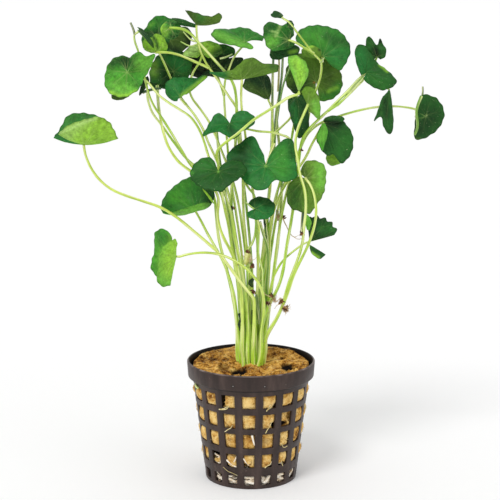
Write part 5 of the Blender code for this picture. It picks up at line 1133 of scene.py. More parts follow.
def tube_tree():
    """Round tubes along loose edges, as wide as each point's own radius."""
    tree = Growth("tubes_along_paths", {"Sides": "Int"})
    radius = tree.named("radius")
    curve = tree.geo("MeshToCurve", Mesh=tree.given["Geometry"])
    curve = tree.geo("SetCurveRadius", Curve=curve, Radius=radius)
    ring = tree.geo("CurvePrimitiveCircle", Resolution=tree.given["Sides"], Radius=1.0)
    ring = tree.node("GeometryNodeStoreNamedAttribute",
                     {"Geometry": ring, "Name": "ring", "Value": tree.geo("InputPosition")},
                     data_type="FLOAT_VECTOR", domain="POINT")
    tube = tree.geo("CurveToMesh", Curve=curve, Profile_Curve=ring, Fill_Caps=True)
    inputs = tube.socket.node.inputs
    if "Scale" in inputs:
        tree.feed(inputs["Scale"], radius)
    return tree.end(tube)


def ring_tree():
    """Copies of one sector, turned about the upright axis to close the ring."""
    tree = Growth("sectors_in_a_ring", {"Count": "Int", "First": "Float"})
    count = tree.given["Count"]
    spots = tree.geo("MeshLine", Count=count, Offset=(0.0, 0.0, 0.0))
    turn = tree.geo("InputIndex") * tree.math("DIVIDE", 2 * math.pi, count) + tree.given["First"]
    copies = tree.geo("InstanceOnPoints", Points=spots, Instance=tree.given["Geometry"],
                      Rotation=tree.joined(Z=turn))
    real = tree.geo("RealizeInstances", Geometry=copies)
    return tree.end(tree.geo("MergeByDistance", Geometry=real, Distance=SEAM * MM))


def fibre_tree():
    """Short bent fibres that lie on a surface, only where its bare attribute lets them."""
    tree = Growth("fibres_on_a_surface", {"Density": "Float", "Length": "Float", "Thickness": "Float",
                                          "Seed": "Int"})
    spots = tree.geo("DistributePointsOnFaces", Mesh=tree.given["Geometry"], Density=tree.given["Density"],
                     Seed=tree.given["Seed"], Selection=tree.named("bare"))
    hair = tree.geo("CurveQuadraticBezier", Resolution=5, Start=(-0.5, 0.0, 0.0), Middle=(0.0, 0.18, 0.25),
                    End=(0.5, 0.05, 0.0))
    ring = tree.geo("CurvePrimitiveCircle", Resolution=3, Radius=tree.given["Thickness"])
    tube = tree.geo("CurveToMesh", Curve=hair, Profile_Curve=ring, Fill_Caps=True)
    spin = tree.random((-0.35, -0.35, 0.0), (0.35, 0.35, 6.283), 3)
    lie = tree.node("FunctionNodeRotateRotation", {"Rotation": spots.other("Rotation"), "Rotate By": spin},
                    rotation_space="LOCAL")
    length = tree.random(0.45, 1.3, 5) * tree.given["Length"]
    return tree.end(tree.geo("InstanceOnPoints", Points=spots, Instance=tube, Rotation=lie, Scale=length))


TUBES = tube_tree()
RING = ring_tree()
FIBRES = fibre_tree()


def tubes(name, paths, sides, finish, node=None):
    """One piece of tubes. A path is (points in mm, radii in mm, tones) with a tone for each point."""
    points, edges, radii, tones, along = [], [], [], [], []
    for number, (path, radius, tone) in enumerate(paths):
        first = len(points)
        points += list(path)
        edges += [(first + i, first + i + 1) for i in range(len(path) - 1)]
        radii += list(np.broadcast_to(radius, len(path)) * MM)
        tones += [(*t, 1.0) for t in np.broadcast_to(tone, (len(path), 3))]
        along += list(travelled(path) + 400 * number + 37 * path[0][0])
    source = mesh_object(name + "_paths", points, [], [], edges)
    store(source.data, "radius", radii)
    store(source.data, "tone", tones, "FLOAT_COLOR")
    store(source.data, "along", along)
    grow(source, TUBES, Sides=sides, Finish=finish)
    return dress(as_plain_mesh(source, name), node)


# Blades

# How far each field between veins bulges, and how far the rim waves, in mm
BULGE = 0.32
RIM_WAVE = 0.3


def line_distance(points, line):
    """How far each point is from the line through the given ones, as seen from the front."""
    line = np.asarray(line, float)
    if len(line) == 1:
        return np.linalg.norm(points - line[0], axis=-1)
    nearest = np.full(points.shape[:-1], np.inf)
    for start, end in zip(line, line[1:]):
        way = end - start
        share = np.clip(((points - start) @ way) / (way @ way), 0, 1)
        nearest = np.minimum(nearest, np.linalg.norm(points - start - share[..., None] * way, axis=-1))
    return nearest


def toned(leaf, face, where):
    """The tone at each place seen from the front: the face's own, with its spots faded in, painted light and
    shade among them.
    """
    tones = np.tile(np.array(TONES[leaf.tones[face]]), (len(where), 1))
    for tone, reach, strength, line, *kept in leaf.spots:
        if kept and face not in kept:
            continue
        share = strength * smooth_step(np.clip(1 - line_distance(where, line) / reach, 0, 1))
        tones += share[..., None] * (np.array(TONES[tone]) - tones)
    return tones


def blade_surface(leaf):
    """The blade's middle surface as rows of points from hub to rim, and each spoke's place."""
    length = travelled(leaf.rim)[-1]
    veins = int(np.clip(round(length / VEIN_REACH), 2, MOST_VEINS))
    rim, length = even_curve(leaf.rim, veins * SPOKES_PER_VEIN + 1)
    around = np.linspace(0, veins, len(rim))
    reach = np.linalg.norm(rim - leaf.hub, axis=1)
    shares = np.linspace(0, 1, BLADE_ROWS + 1)[1:]
    s = shares[:, None]
    teeth = TOOTH * leaf.teeth * (1 + np.cos(4 * math.pi * around)) * np.clip(reach / 8, 0.3, 1)
    inward = teeth * s ** 6
    points = leaf.hub + (s * (1 - inward / reach))[..., None] * (rim - leaf.hub)
    bulge = BULGE * np.cos(math.pi * around) ** 2 * np.clip(reach / 9, 0.2, 1)
    rise = 4 * leaf.dome * s * (1 - s) + bulge * np.sin(math.pi * s ** 0.8) ** 1.2
    rise = rise + RIM_WAVE * s ** 3 * np.sin(2 * math.pi * around * 0.47 + 3 * leaf.hub[0])
    rise = rise + leaf.crinkle * s * (value_noise(points, 1.7, 41) + 0.8 * value_noise(points, 3.6, 42))
    return points + rise[..., None] * leaf.face, around, shares, length / veins


def point_normals(points, parts):
    """The way that a surface faces at each of its points."""
    normals = np.zeros_like(points)
    for faces in parts:
        start = points[faces[:, 0]]
        across = np.cross(points[faces[:, 1]] - start, points[faces[:, -1]] - start)
        for corner in range(faces.shape[1]):
            np.add.at(normals, faces[:, corner], across)
    return normals / np.linalg.norm(normals, axis=1, keepdims=True)


def make_blade(leaf, finishes, node=None):
    """A blade with two faces and a rim between them, thin where it ends."""
    rows, around, shares, sector = blade_surface(leaf)
    spokes = len(around)
    middle = np.vstack([leaf.hub[None], rows.reshape(-1, 3)])
    index = 1 + np.arange(len(shares) * spokes).reshape(len(shares), spokes)
    fan = np.stack([np.zeros(spokes - 1, int), index[0, :-1], index[0, 1:]], axis=1)
    quads = np.stack([index[:-1, :-1], index[1:, :-1], index[1:, 1:], index[:-1, 1:]], axis=-1).reshape(-1, 4)
    normals = point_normals(middle, (fan, quads))
    s = np.concatenate([[0.0], np.repeat(shares, spokes)])
    side = np.concatenate([[0.0], np.tile(np.minimum(around, around[-1] - around), len(shares))])
    thick = BLADE_THICK * (1 - 0.55 * s ** 8) * (0.6 + 0.4 * np.clip(side * 5, 0, 1))
    thick[0] = BLADE_THICK
    offset = normals * thick[:, None] / 2
    points = np.vstack([middle + offset, middle - offset])
    below = len(middle)
    edge = np.concatenate([[0], index[:, 0], index[-1, 1:], index[-2::-1, -1], [0]])
    rim = np.stack([edge[:-1], edge[:-1] + below, edge[1:] + below, edge[1:]], axis=1)
    parts = [fan, quads, fan[:, ::-1] + below, quads[:, ::-1] + below, rim]
    faces = [tuple(f) for part in parts for f in part.tolist()]
    made = mesh_object(leaf.name + "_blade", points, faces, finishes)
    mesh = made.data
    face_of_part = np.repeat([0, 0, 1, 1, 0], [len(part) for part in parts])
    mesh.polygons.foreach_set("material_index", face_of_part.astype(np.int32))
    u = np.concatenate([[0.0], np.tile(around, len(shares))])
    uv = []
    for part in parts:
        part_u = u[part % below]
        if part.shape[1] == 3:
            hub = (part % below) == 0
            mean = np.where(hub, 0, part_u).sum(axis=1, keepdims=True) / 2
            part_u = np.where(hub, mean, part_u)
        uv.append(np.stack([part_u, s[part % below]], axis=-1).reshape(-1, 2))
    mesh.uv_layers.new(name="blade").data.foreach_set("uv", np.concatenate(uv).astype(np.float32).ravel())
    where = front_view(middle)
    tone = np.vstack([toned(leaf, face, where) for face in ("upper", "under")])
    store(mesh, "tone", np.hstack([tone, np.ones((len(tone), 1))]), "FLOAT_COLOR")
    store(mesh, "width", np.tile(sector * s, 2))
    store(mesh, "vein_light", np.full(len(points), leaf.veins))
    return dress(made, node)


# Stalks

STALK_TONES = {
    "base": srgb(190, 240, 70),
    "low": srgb(202, 236, 82),
    "high": srgb(194, 222, 72),
    "tip": srgb(170, 200, 62),
    # The tone for stalks behind the bunch is painted shade
    "back": srgb(152, 194, 62),
    "cream": srgb(224, 232, 112),
    "vivid": srgb(146, 198, 36),
}
TONE_HEIGHTS = {"base": 50, "low": 62, "high": 110, "tip": 190}

# A stalk swells where it forks, and this dies away in about so many mm
FORK_SWELL = 0.4
FORK_REACH = 1.6

# Stalks thin out between these heights, to these shares of their radius
THIN_HEIGHTS = (52, 84)
THIN_SHARES = (0.93, 0.71)

# Below this height the bunch draws in by this share, and fully so this much lower
DRAWN_BELOW = 68
DRAWN_OVER = 16
DRAWN_IN = 0.17


def stalk_tone(points, cream):
    """Deeper green in the bunch, yellower above, and duller further behind, as painted shade for the stalks
    that lie in the shade of those in front.
    """
    height = points[:, 2]
    tones = np.array([STALK_TONES[t] for t in TONE_HEIGHTS])
    stops = list(TONE_HEIGHTS.values())
    tone = np.stack([np.interp(height, stops, tones[:, c]) for c in range(3)], axis=1)
    own = np.array(STALK_TONES["cream"]) * cream + np.array(STALK_TONES["vivid"]) * (1 - cream)
    share = 0.6 * np.clip((height - 56) / 20, 0, 1)[:, None]
    tone = tone * (1 - share) + own * share
    # Painted shade: stalks further behind are dulled towards a darker tone.
    back = np.clip((points[:, 1] - 1) / 14, 0, 1)[:, None] * 0.7
    return tone * (1 - back) + np.array(STALK_TONES["back"]) * back


def stalk_path(run, number, cream):
    """A run's stalk, up into its blade: thicker at a fork, and drawn in at the foot of the bunch."""
    points = np.vstack([run.points, run.blade.hub - run.blade.face * 0.5 * BLADE_THICK])
    count = max(5, int(run.distance[-1] / STEM_STEP))
    path, length = even_curve(points, count)
    radius = np.interp(np.linspace(0, 1, count), np.linspace(0, 1, len(run.radius)), run.radius)
    distance = np.linspace(0, length, count)
    if run.joint is not None:
        radius = radius * (1 + FORK_SWELL * np.exp(-distance / FORK_REACH))
    thin = np.interp(path[:, 2], THIN_HEIGHTS, THIN_SHARES)
    radius = radius * (thin + 0.05 * np.sin(distance * 0.7 + number) * np.sin(distance * 0.23))
    path[:, 0] *= 1 - DRAWN_IN * np.clip((DRAWN_BELOW - path[:, 2]) / DRAWN_OVER, 0, 1)
    return path, radius, stalk_tone(path, cream)


def make_stalks(finish):
    for number, stem in enumerate(STEMS):
        paths = [stalk_path(run, number, stem.cream) for run in stem.runs]
        tubes(stem.name + "_stalks", paths, STEM_SIDES, finish, stem.name)


# Thin stalks and cut ends among the main stems: (tone, width in mm, what is seen of the route)
SIDE_SHOOTS = [
    ("bright", 1.1, [(-1.2, 46, -2.9), (-1.4, 78, -4), (-1.3, 96, -3), (0.3, 99.6, -3), (1.7, 103.8, -3.5),
        (2.2, 111, -5)]),
    ("bright", 0.9, [(4.2, 46, -2.4), (4.8, 85.8, -3.5), (4.6, 89, -3.5), (3.7, 92.7, -4), (3, 96.4, -4.5),
        (2.8, 101, -5), (3, 108, -6)]),
    ("leafy", 1.3, [(4.9, 46, 1), (6.7, 85.8, 1), (7, 91.8, 1), (6.7, 98.3, 1), (4.9, 104.3, 0),
        (3.7, 109, -1)]),
    ("mid", 1.2, [(6.7, 98.3, 2), (6.5, 102.4, 2), (6, 106.6, 2), (5.4, 110.5, 2)]),
    ("bright", 1.0, [(-3.2, 128, 3), (-2.5, 125.5, 2), (-0.9, 122.8, 1), (1.2, 120, 0), (2, 116, 0)]),
    ("pale", 1.2, [(0, 46, 5.6), (0.6, 80, 7), (-0.4, 100, 7), (-2.4, 120, 7), (-4.6, 138, 7),
        (-5.6, 150, 6)]),
    ("leafy", 1.3, [(-2, 46, 5.2), (-4.4, 80, 6.5), (-7.4, 100, 6.5), (-10, 118, 6.5), (-12.6, 134, 6),
        (-14, 148, 6)]),
    ("pale", 1.2, [(3, 46, 5.4), (5.4, 80, 8.5), (6.4, 100, 9.5), (7.2, 120, 10), (9.4, 140, 10),
        (10.4, 156, 9)]),
    ("leafy", 1.3, [(4.6, 46, 4.2), (8.6, 82, 5.5), (11, 100, 6.5), (12.4, 118, 8), (12, 134, 9.4),
        (10.8, 146, 9.6), (10.4, 150, 9.6)]),
    ("teal", 1.2, [(8.2, 136, 8.5), (8.5, 146, 8.5), (8.6, 158, 9), (8.7, 168, 9), (9, 178, 6)]),
    ("teal", 1.1, [(9.2, 138, 10), (10, 152, 10.5), (11.2, 160, 10.5), (12.3, 168, 9.5),
        (12.8, 178.6, 5)]),
    ("fresh", 0.9, [(9.4, 142, 8.4), (11.4, 157, 8), (13.2, 165.6, 7.4), (15.5, 171.6, 5),
        (16.4, 177.4, 2)]),
    ("straw", 0.9, [(10.8, 162, 11.6), (11.2, 170, 11.4), (11.2, 177.6, 9)]),
    ("silver", 0.5, [(27.8, 173.4, -2.4), (28.7, 174.6, -3.2), (29.3, 175.6, -3.4)]),
    ("silver", 0.8, [(-12.4, 175.1, 2), (-9.8, 175.8, 2), (-7.4, 176.9, 2)]),
    ("pale", 0.7, [(1.2, 114.3, -10.6), (-0.4, 115.5, -11), (-2.2, 117.2, -11.2)]),
    ("deep", 0.9, [(-46.3, 184.8, -10.2), (-46.9, 187, -10.6), (-47.9, 189.4, -10.4)]),
    ("deep", 1.3, [(21.4, 114.4, -7), (21, 110.6, -8.6), (20.8, 107.6, -10), (20.6, 104.6, -11.6)]),
    ("leafy", 1.3, [(-37.5, 164.5, 4), (-37.4, 160, 3), (-37, 154, 1.5)]),
    ("dark", 1.2, [(-43.5, 161.6, -2), (-40.5, 162.6, -2.5), (-36, 163.3, -2)]),
    ("dark", 0.8, [(68.7, 160.2, 5), (68.9, 162, 5), (68.8, 164, 5)]),
    ("leafy", 1.0, [(45.2, 168, 5.5), (40.8, 163.1, 5), (37.2, 158.9, 4.6), (34.6, 156.2, 4.2)]),
    ("cream", 0.8, [(6, 132.4, -9.2), (7.9, 137.1, -7), (9.6, 141, -4.5)]),
    ("leafy", 1.2, [(68.4, 160.2, 2.4), (67.1, 156.8, 1.6), (66.5, 153.8, 1.4), (66.8, 151.2, 1.6),
        (67.1, 148.8, 1.6), (66.8, 146.6, 1.8), (66, 144.6, 2.2)]),
    ("leafy", 0.8, [(-21.3, 181.8, -6.7), (-24, 182.7, -5.4), (-27, 185.8, -4.6)]),
    ("pale", 0.7, [(-21.2, 181, -6.6), (-24.2, 180.1, -5.2), (-28.1, 181.9, -4.8)]),
]

# Brown joints where a shoot was cut or has rooted: (radius in mm, what is seen of the place)
JOINTS = [
    (0.9, (1, 79.6, -7.6)), (1.1, (12.6, 75.6, -7)), (1.3, (14.2, 72.8, -7.4)), (0.7, (20.4, 138.4, -5)),
    (1.0, (-1.2, 96.4, -4.8)), (1.0, (0.5, 90.6, -5)), (0.6, (-5, 91.4, -9)), (1.0, (8.4, 78, -4)),
    (0.9, (6.6, 74.8, -5)), (1.0, (12.9, 110.8, 2.4)), (0.7, (-17.2, 171.5, 0)), (0.7, (19.5, 126.5, 0)),
    (0.8, (20.6, 104, -11.8)), (0.6, (-7.2, 114.6, -4)),
]

# Pale fuzz of young roots round a joint: (reach in mm, what is seen of the place)
FUZZ = [
    (1.7, (14.4, 72.8, -7.4)), (1.2, (14.2, 71.6, -7)), (1.6, (9.8, 76.4, -4)), (1.0, (7.6, 74.8, -5)),
    (1.2, (-1.6, 94.2, -5)), (1.0, (11.2, 111, 2.4)), (0.8, (12.2, 76.6, -7.2)),
]

# Sheaths that swell round a shoot: (tone, width in mm, what is seen of the route)
SHEATHS = [
    ("sheath", 2.6, [(-2.2, 91.2, -4.4), (-1.7, 94, -4.8), (-1.2, 97, -4.4)]),
    ("straw", 1.5, [(-0.6, 91.6, -4.6), (-0.2, 93.6, -4.8), (-0.4, 95.6, -4.6)]),
    ("straw", 1.6, [(11, 109.4, 3), (10.8, 111.6, 3), (10.6, 114, 3)]),
    ("olive", 1.8, [(3.4, 66, -3.6), (2.8, 72, -3.8), (2.2, 78.6, -4)]),
]

# Scraps of dead leaf in the bunch: (tone, width in mm, what is seen of the route)
SCRAPS = [
    ("shade", 1.7, [(-5, 70.6, -5.6), (-4, 68, -5.8), (-4.6, 66, -5.4), (-4, 62.6, -5.4)]),
    ("shade", 1.9, [(1, 85.2, -6), (-0.2, 83.6, -6.4), (0.7, 81.8, -6)]),
    ("shadow", 1.2, [(0.4, 72, -6), (0.8, 69, -6.2), (0.5, 66, -6)]),
    ("black", 0.8, [(-8, 115.6, -4), (-7.4, 113.8, -4.2)]),
    ("black", 0.9, [(5.3, 109.8, 1), (5.9, 106.4, 1)]),
    ("olive", 0.9, [(1, 68.4, -6.4), (1.4, 64.6, -6.4)]),
]

# Rootlets that hang from the joints: (width in mm, what is seen of the route)
ROOTLETS = [
    (0.45, [(13, 74, -8), (14.6, 73, -8.6), (15.2, 71.6, -8.4)]),
    (0.4, [(13.4, 73.6, -8), (14.4, 71.4, -8.6), (14, 69.8, -8.2)]),
    (0.35, [(12.6, 74.6, -8), (11, 74.2, -8.4), (9.6, 72.6, -8)]),
    (0.5, [(12.9, 110.6, 1.5), (14.6, 106.8, 0.5), (16.6, 103.4, 0), (19, 101.8, -0.5), (20.6, 102, -1)]),
    (0.3, [(16.8, 103.2, 0), (17.6, 102.6, -0.4), (20, 103.6, -1)]),
    (0.4, [(8.6, 77.4, -4.6), (6, 78.6, -6), (3.2, 82.6, -7), (4.4, 85, -7.4)]),
    (0.35, [(8.6, 76.6, -4.6), (10.4, 75.4, -5), (11.6, 76.8, -5.4)]),
    (0.35, [(8.4, 76, -5), (7.4, 73.6, -5.4), (8, 71.8, -5.6), (6.6, 70.4, -5.6)]),
    (0.35, [(-1.4, 94.4, -5.4), (0.6, 93, -6), (2.4, 94.2, -6.2)]),
    (0.3, [(-2, 94, -5.4), (-3.4, 95, -6), (-4, 97.4, -6), (-6.8, 98, -6.2)]),
]

# The short leaf bases at the foot of the bunch: how many, and how far the bunch reaches
BASES = 30
BUNCH_ACROSS = 5.4
BUNCH_DEEP = 4.6
BUNCH_MIDDLE = 0.6
BASE_TOPS = (55, 72)
BASE_LEAN = 0.016

# Hairs in each fuzz, and lumps in each joint
HAIRS = 26
LUMPS = 9


def make_side_shoots(finish):
    for number, (tone, width, route) in enumerate(SIDE_SHOOTS):
        path = seen_curve(route, 5 + 12 * len(route))
        radius = 0.5 * width * np.linspace(1.08, 0.86, len(path))
        tubes(f"side_shoot_{number + 1}", [(path, radius, TONES[tone])], SHOOT_SIDES, finish)


def make_base(finish):
    """Short pale leaf bases that pack the foot of the bunch."""
    dice = np.random.default_rng(7)
    count = 18
    paths = []
    for _ in range(BASES):
        turn, share = dice.uniform(0, 2 * math.pi), math.sqrt(dice.uniform(0.05, 1))
        x, y = BUNCH_ACROSS * share * math.cos(turn), BUNCH_MIDDLE + BUNCH_DEEP * share * math.sin(turn)
        top = dice.uniform(*BASE_TOPS)
        lean = 1 + BASE_LEAN * (top - PLUG_TOP)
        route = [(x, y, PLUG_TOP - 1.2), (x * 1.02, y, 0.5 * (PLUG_TOP + top)), (x * lean, y * lean, top)]
        taper = np.interp(np.linspace(0, 1, count), [0, 0.7, 1], [1, 0.8, 0.25])
        radius = dice.uniform(0.65, 1.0) * taper
        tone = np.array(STALK_TONES["base"]) * dice.uniform(0.55, 1.0)
        tone = tone + dice.uniform(0, 0.5) * (np.array(TONES["cream"]) - tone)
        paths.append((even_curve(route, count)[0], radius, tone))
    tubes("leaf_bases", paths, SHOOT_SIDES, finish)


def make_wraps(name, pieces, dice, finish):
    """Swellings along their routes, thin at both ends."""
    count = 16
    paths = []
    for tone, width, route in pieces:
        swell = 0.5 * width * np.sin(np.linspace(0.3, math.pi - 0.3, count)) ** 0.6
        paths.append((seen_curve(route, count), swell * dice.uniform(0.85, 1.15, count), TONES[tone]))
    tubes(name, paths, SHOOT_SIDES, finish)


def make_fuzz(dice, finish):
    """Fine hairs that stand out from the middle of each joint."""
    count = 7
    paths = []
    for reach, place in FUZZ:
        middle = seen(*place)
        for _ in range(HAIRS):
            way = unit(dice.normal(size=3) * (1.0, 0.6, 1.0)) * reach
            route = [middle + dice.normal(size=3) * 0.25 * reach, middle + way * 0.6,
                     middle + way + dice.normal(size=3) * 0.3 * reach]
            paths.append((even_curve(route, count)[0], 0.09 * np.linspace(1, 0.5, count), TONES["straw"]))
    tubes("root_fuzz", paths, HAIR_SIDES, finish)


def make_joints(dice, finish):
    """Swollen brown joints, each a knot of short lumps."""
    count = 9
    paths = []
    for radius, place in JOINTS:
        middle = seen(*place)
        for _ in range(LUMPS):
            way = unit(dice.normal(size=3) * (0.6, 0.4, 1.0))
            start = middle + dice.normal(size=3) * radius * 0.3
            route = [start - way * radius, start + dice.normal(size=3) * 0.2, start + way * radius]
            swell = 0.36 * radius * np.sin(np.linspace(0.25, math.pi - 0.15, count)) * dice.uniform(0.5, 1.2)
            paths.append((even_curve(route, count)[0], swell, TONES["rust"]))
    tubes("brown_joints", paths, ROOT_SIDES, finish)


def make_rootlets(dice, finish):
    count = 24
    paths = []
    for width, route in ROOTLETS:
        path = seen_curve(route, count)
        path[1:-1] += dice.normal(size=(count - 2, 3)) * 0.07
        paths.append((path, 0.5 * width * np.linspace(1, 0.4, count), TONES["rust"]))
    tubes("rootlets", paths, ROOTLET_SIDES, finish)


# Net pot


def pot_profile():
    """The pot's outline in (radius, height): up its outside to the lip, and down its inside."""
    heights = [z for row in WINDOW_ROWS for z in row] + [BAND_BOTTOM]
    outside = [(BASE_RADIUS, 0.0)] + [(wall_radius(z), z) for z in heights]
    outside += [(RIM_RADIUS - 0.4, BAND_BOTTOM + SHOULDER), (RIM_RADIUS, POT_HEIGHT - 0.5),
                (RIM_RADIUS - 0.3, POT_HEIGHT)]
    inside = [(RIM_RADIUS - RIM_WALL, POT_HEIGHT),
              (RIM_RADIUS - RIM_WALL - 0.2, BAND_BOTTOM + SHOULDER + 0.8)]
    inside += [(wall_radius(z) - WALL, z) for z in reversed(heights)]
    inside.append((wall_radius(FLOOR) - WALL, FLOOR))
    return outside, inside


def pot_sector():
    """One bar and the windows beside it, as the ring repeats them."""
    outside, inside = pot_profile()
    profile = outside + inside
    last = len(profile) - 1
    bar_steps, window_steps = 2, 6
    across = bar_steps + window_steps + 1
    points = []
    for radius, z in profile:
        half = 0.5 * BAR_WIDTH / radius
        angles = np.concatenate([np.linspace(-half, half, bar_steps + 1),
                                 np.linspace(half, SECTOR - half, window_steps + 1)[1:]])
        points += [(radius * math.cos(a), radius * math.sin(a), z) for a in angles]

    faces = []

    def face(*corners):
        """Adds a face, whose corners are (level, step)."""
        faces.append(tuple(level * across + step for level, step in corners))

    windows = {2 * row + 1 for row in range(len(WINDOW_ROWS))}
    for level in range(last):
        low = level if level < len(outside) else last - level - 1
        for step in range(across - 1):
            if step >= bar_steps and low in windows:
                continue
            face((level, step), (level, step + 1), (level + 1, step + 1), (level + 1, step))
    for low in windows:
        high, inner_low, inner_high, end = low + 1, last - low, last - low - 1, across - 1
        for step in range(bar_steps, end):
            face((low, step), (low, step + 1), (inner_low, step + 1), (inner_low, step))
            face((high, step + 1), (high, step), (inner_high, step), (inner_high, step + 1))
        face((high, bar_steps), (low, bar_steps), (inner_low, bar_steps), (inner_high, bar_steps))
        face((low, end), (high, end), (inner_high, end), (inner_low, end))
    centre, floor_start = len(points), last * across
    points += [(0, 0, 0), (0, 0, FLOOR)]
    for step in range(across - 1):
        faces.append((step + 1, step, centre))
        faces.append((floor_start + step, floor_start + step + 1, centre + 1))
    return mesh_object("pot_sector", points, faces, [])


def make_pot(finish):
    sector = grow(pot_sector(), RING, Count=COLUMNS, First=FIRST_BAR, Finish=finish)
    bevel = sector.modifiers.new("moulded_edges", "BEVEL")
    bevel.width = EDGE_ROUND * MM
    bevel.segments = 2
    bevel.limit_method = "ANGLE"
    bevel.angle_limit = math.radians(38)
    made = as_plain_mesh(sector, "moulded_pot")
    made.data.shade_smooth()
    return dress(made, "net_pot")


# Rockwool plug

# Holes in the wool, painted near black with the shade inside them: (x, y, z, half sizes across, along and up,
# depth, how dark)
PITS = [
    (-4.8, -11.0, 49.0, (3.6, 5.6, 6.0), 3.0, 1.0),
    (15.0, -6.8, 49.0, (3.3, 6.0, 6.0), 3.0, 1.0),
    (13.1, 5.6, 49.4, (1.0, 2.2, 4.0), 1.4, 1.0),
    (-11.0, -7.0, 49.0, (2.6, 4.2, 6.0), 1.6, 0.55),
]

# Gaps beside the wool in the front windows, dented and painted near black as shade: (x, z, half width, half
# height)
GAPS = [
    (-11.4, 38.4, 1.3, 2.6), (9.9, 36.0, 1.4, 1.2), (12.8, 27.5, 1.7, 1.2), (9.4, 27.6, 1.2, 1.4),
    (15.9, 19.6, 1.1, 2.0), (-14.8, 13.8, 2.0, 2.4), (-2.5, 10.6, 1.4, 1.5), (15.2, 11.6, 1.2, 2.2),
    (18.8, 11.8, 1.2, 2.0), (-13.0, 35.8, 1.0, 1.0),
]

# Loose fibres on the wool: (piece, how many to a square metre, length in m, radius as a share of it, seed)
FIBRE_KINDS = [("straw_fibres", 260000.0, 0.0026, 0.016, 4), ("brown_fibres", 110000.0, 0.0020, 0.018, 9)]

PLUG_STEPS = 340
PLUG_ROWS = 100
PLUG_RINGS = 42
FREE_OF_WALL = 0.18
EDGE_DROP = 1.4
GAP_DEPTH = 2.4
DENT_FROM = 0.45
DENT_DEPTH = 5.0

# Loose fibres lie where the wool swells this far into a window, and in this ring of its top
SWOLLEN = 0.8
FIBRE_RING = (9, 22)


def window_bulge(angle, z):
    """How far the wool swells into the pot's windows, from 0 at the bars to 1."""

    def arched(share):
        share = np.clip(share, 0, 1)
        return np.clip(4 * share * (1 - share), 0, 1) ** 0.45

    bar = 0.5 * BAR_WIDTH / wall_radius(z)
    inside = np.mod(angle - FIRST_BAR, SECTOR)
    rows = [arched((z - low) / (high - low)) for low, high in WINDOW_ROWS]
    return arched((inside - bar) / (SECTOR - 2 * bar)) * np.maximum.reduce(rows)


def plug_profile():
    """The plug's outline in (radius, height), from its underside up, and where its wall starts and ends."""
    edge = PLUG_TOP - EDGE_DROP
    heights = np.linspace(PLUG_BOTTOM - 2.6, edge, PLUG_ROWS)
    above = np.interp(heights, [BAND_BOTTOM, BAND_BOTTOM + 2.5, edge],
                      [wall_radius(BAND_BOTTOM) - WALL - FREE_OF_WALL, 24.0, 24.2])
    side_radius = np.where(heights < BAND_BOTTOM, wall_radius(heights) - WALL - FREE_OF_WALL, above)
    profile = [(0.0, PLUG_BOTTOM - 1.6)]
    profile += [(r, PLUG_BOTTOM - 2.2) for r in np.linspace(2, side_radius[0] - 0.8, 14)]
    wall_from = len(profile)
    profile += list(zip(side_radius, heights))
    wall_to = len(profile)
    for r in np.linspace(23.9, 0.4, PLUG_RINGS):
        profile.append((r, PLUG_TOP - 0.6 * max(0, (r - 23.0) / 1.2) ** 2))
    profile.append((0.0, PLUG_TOP))
    return np.array(profile), wall_from, wall_to


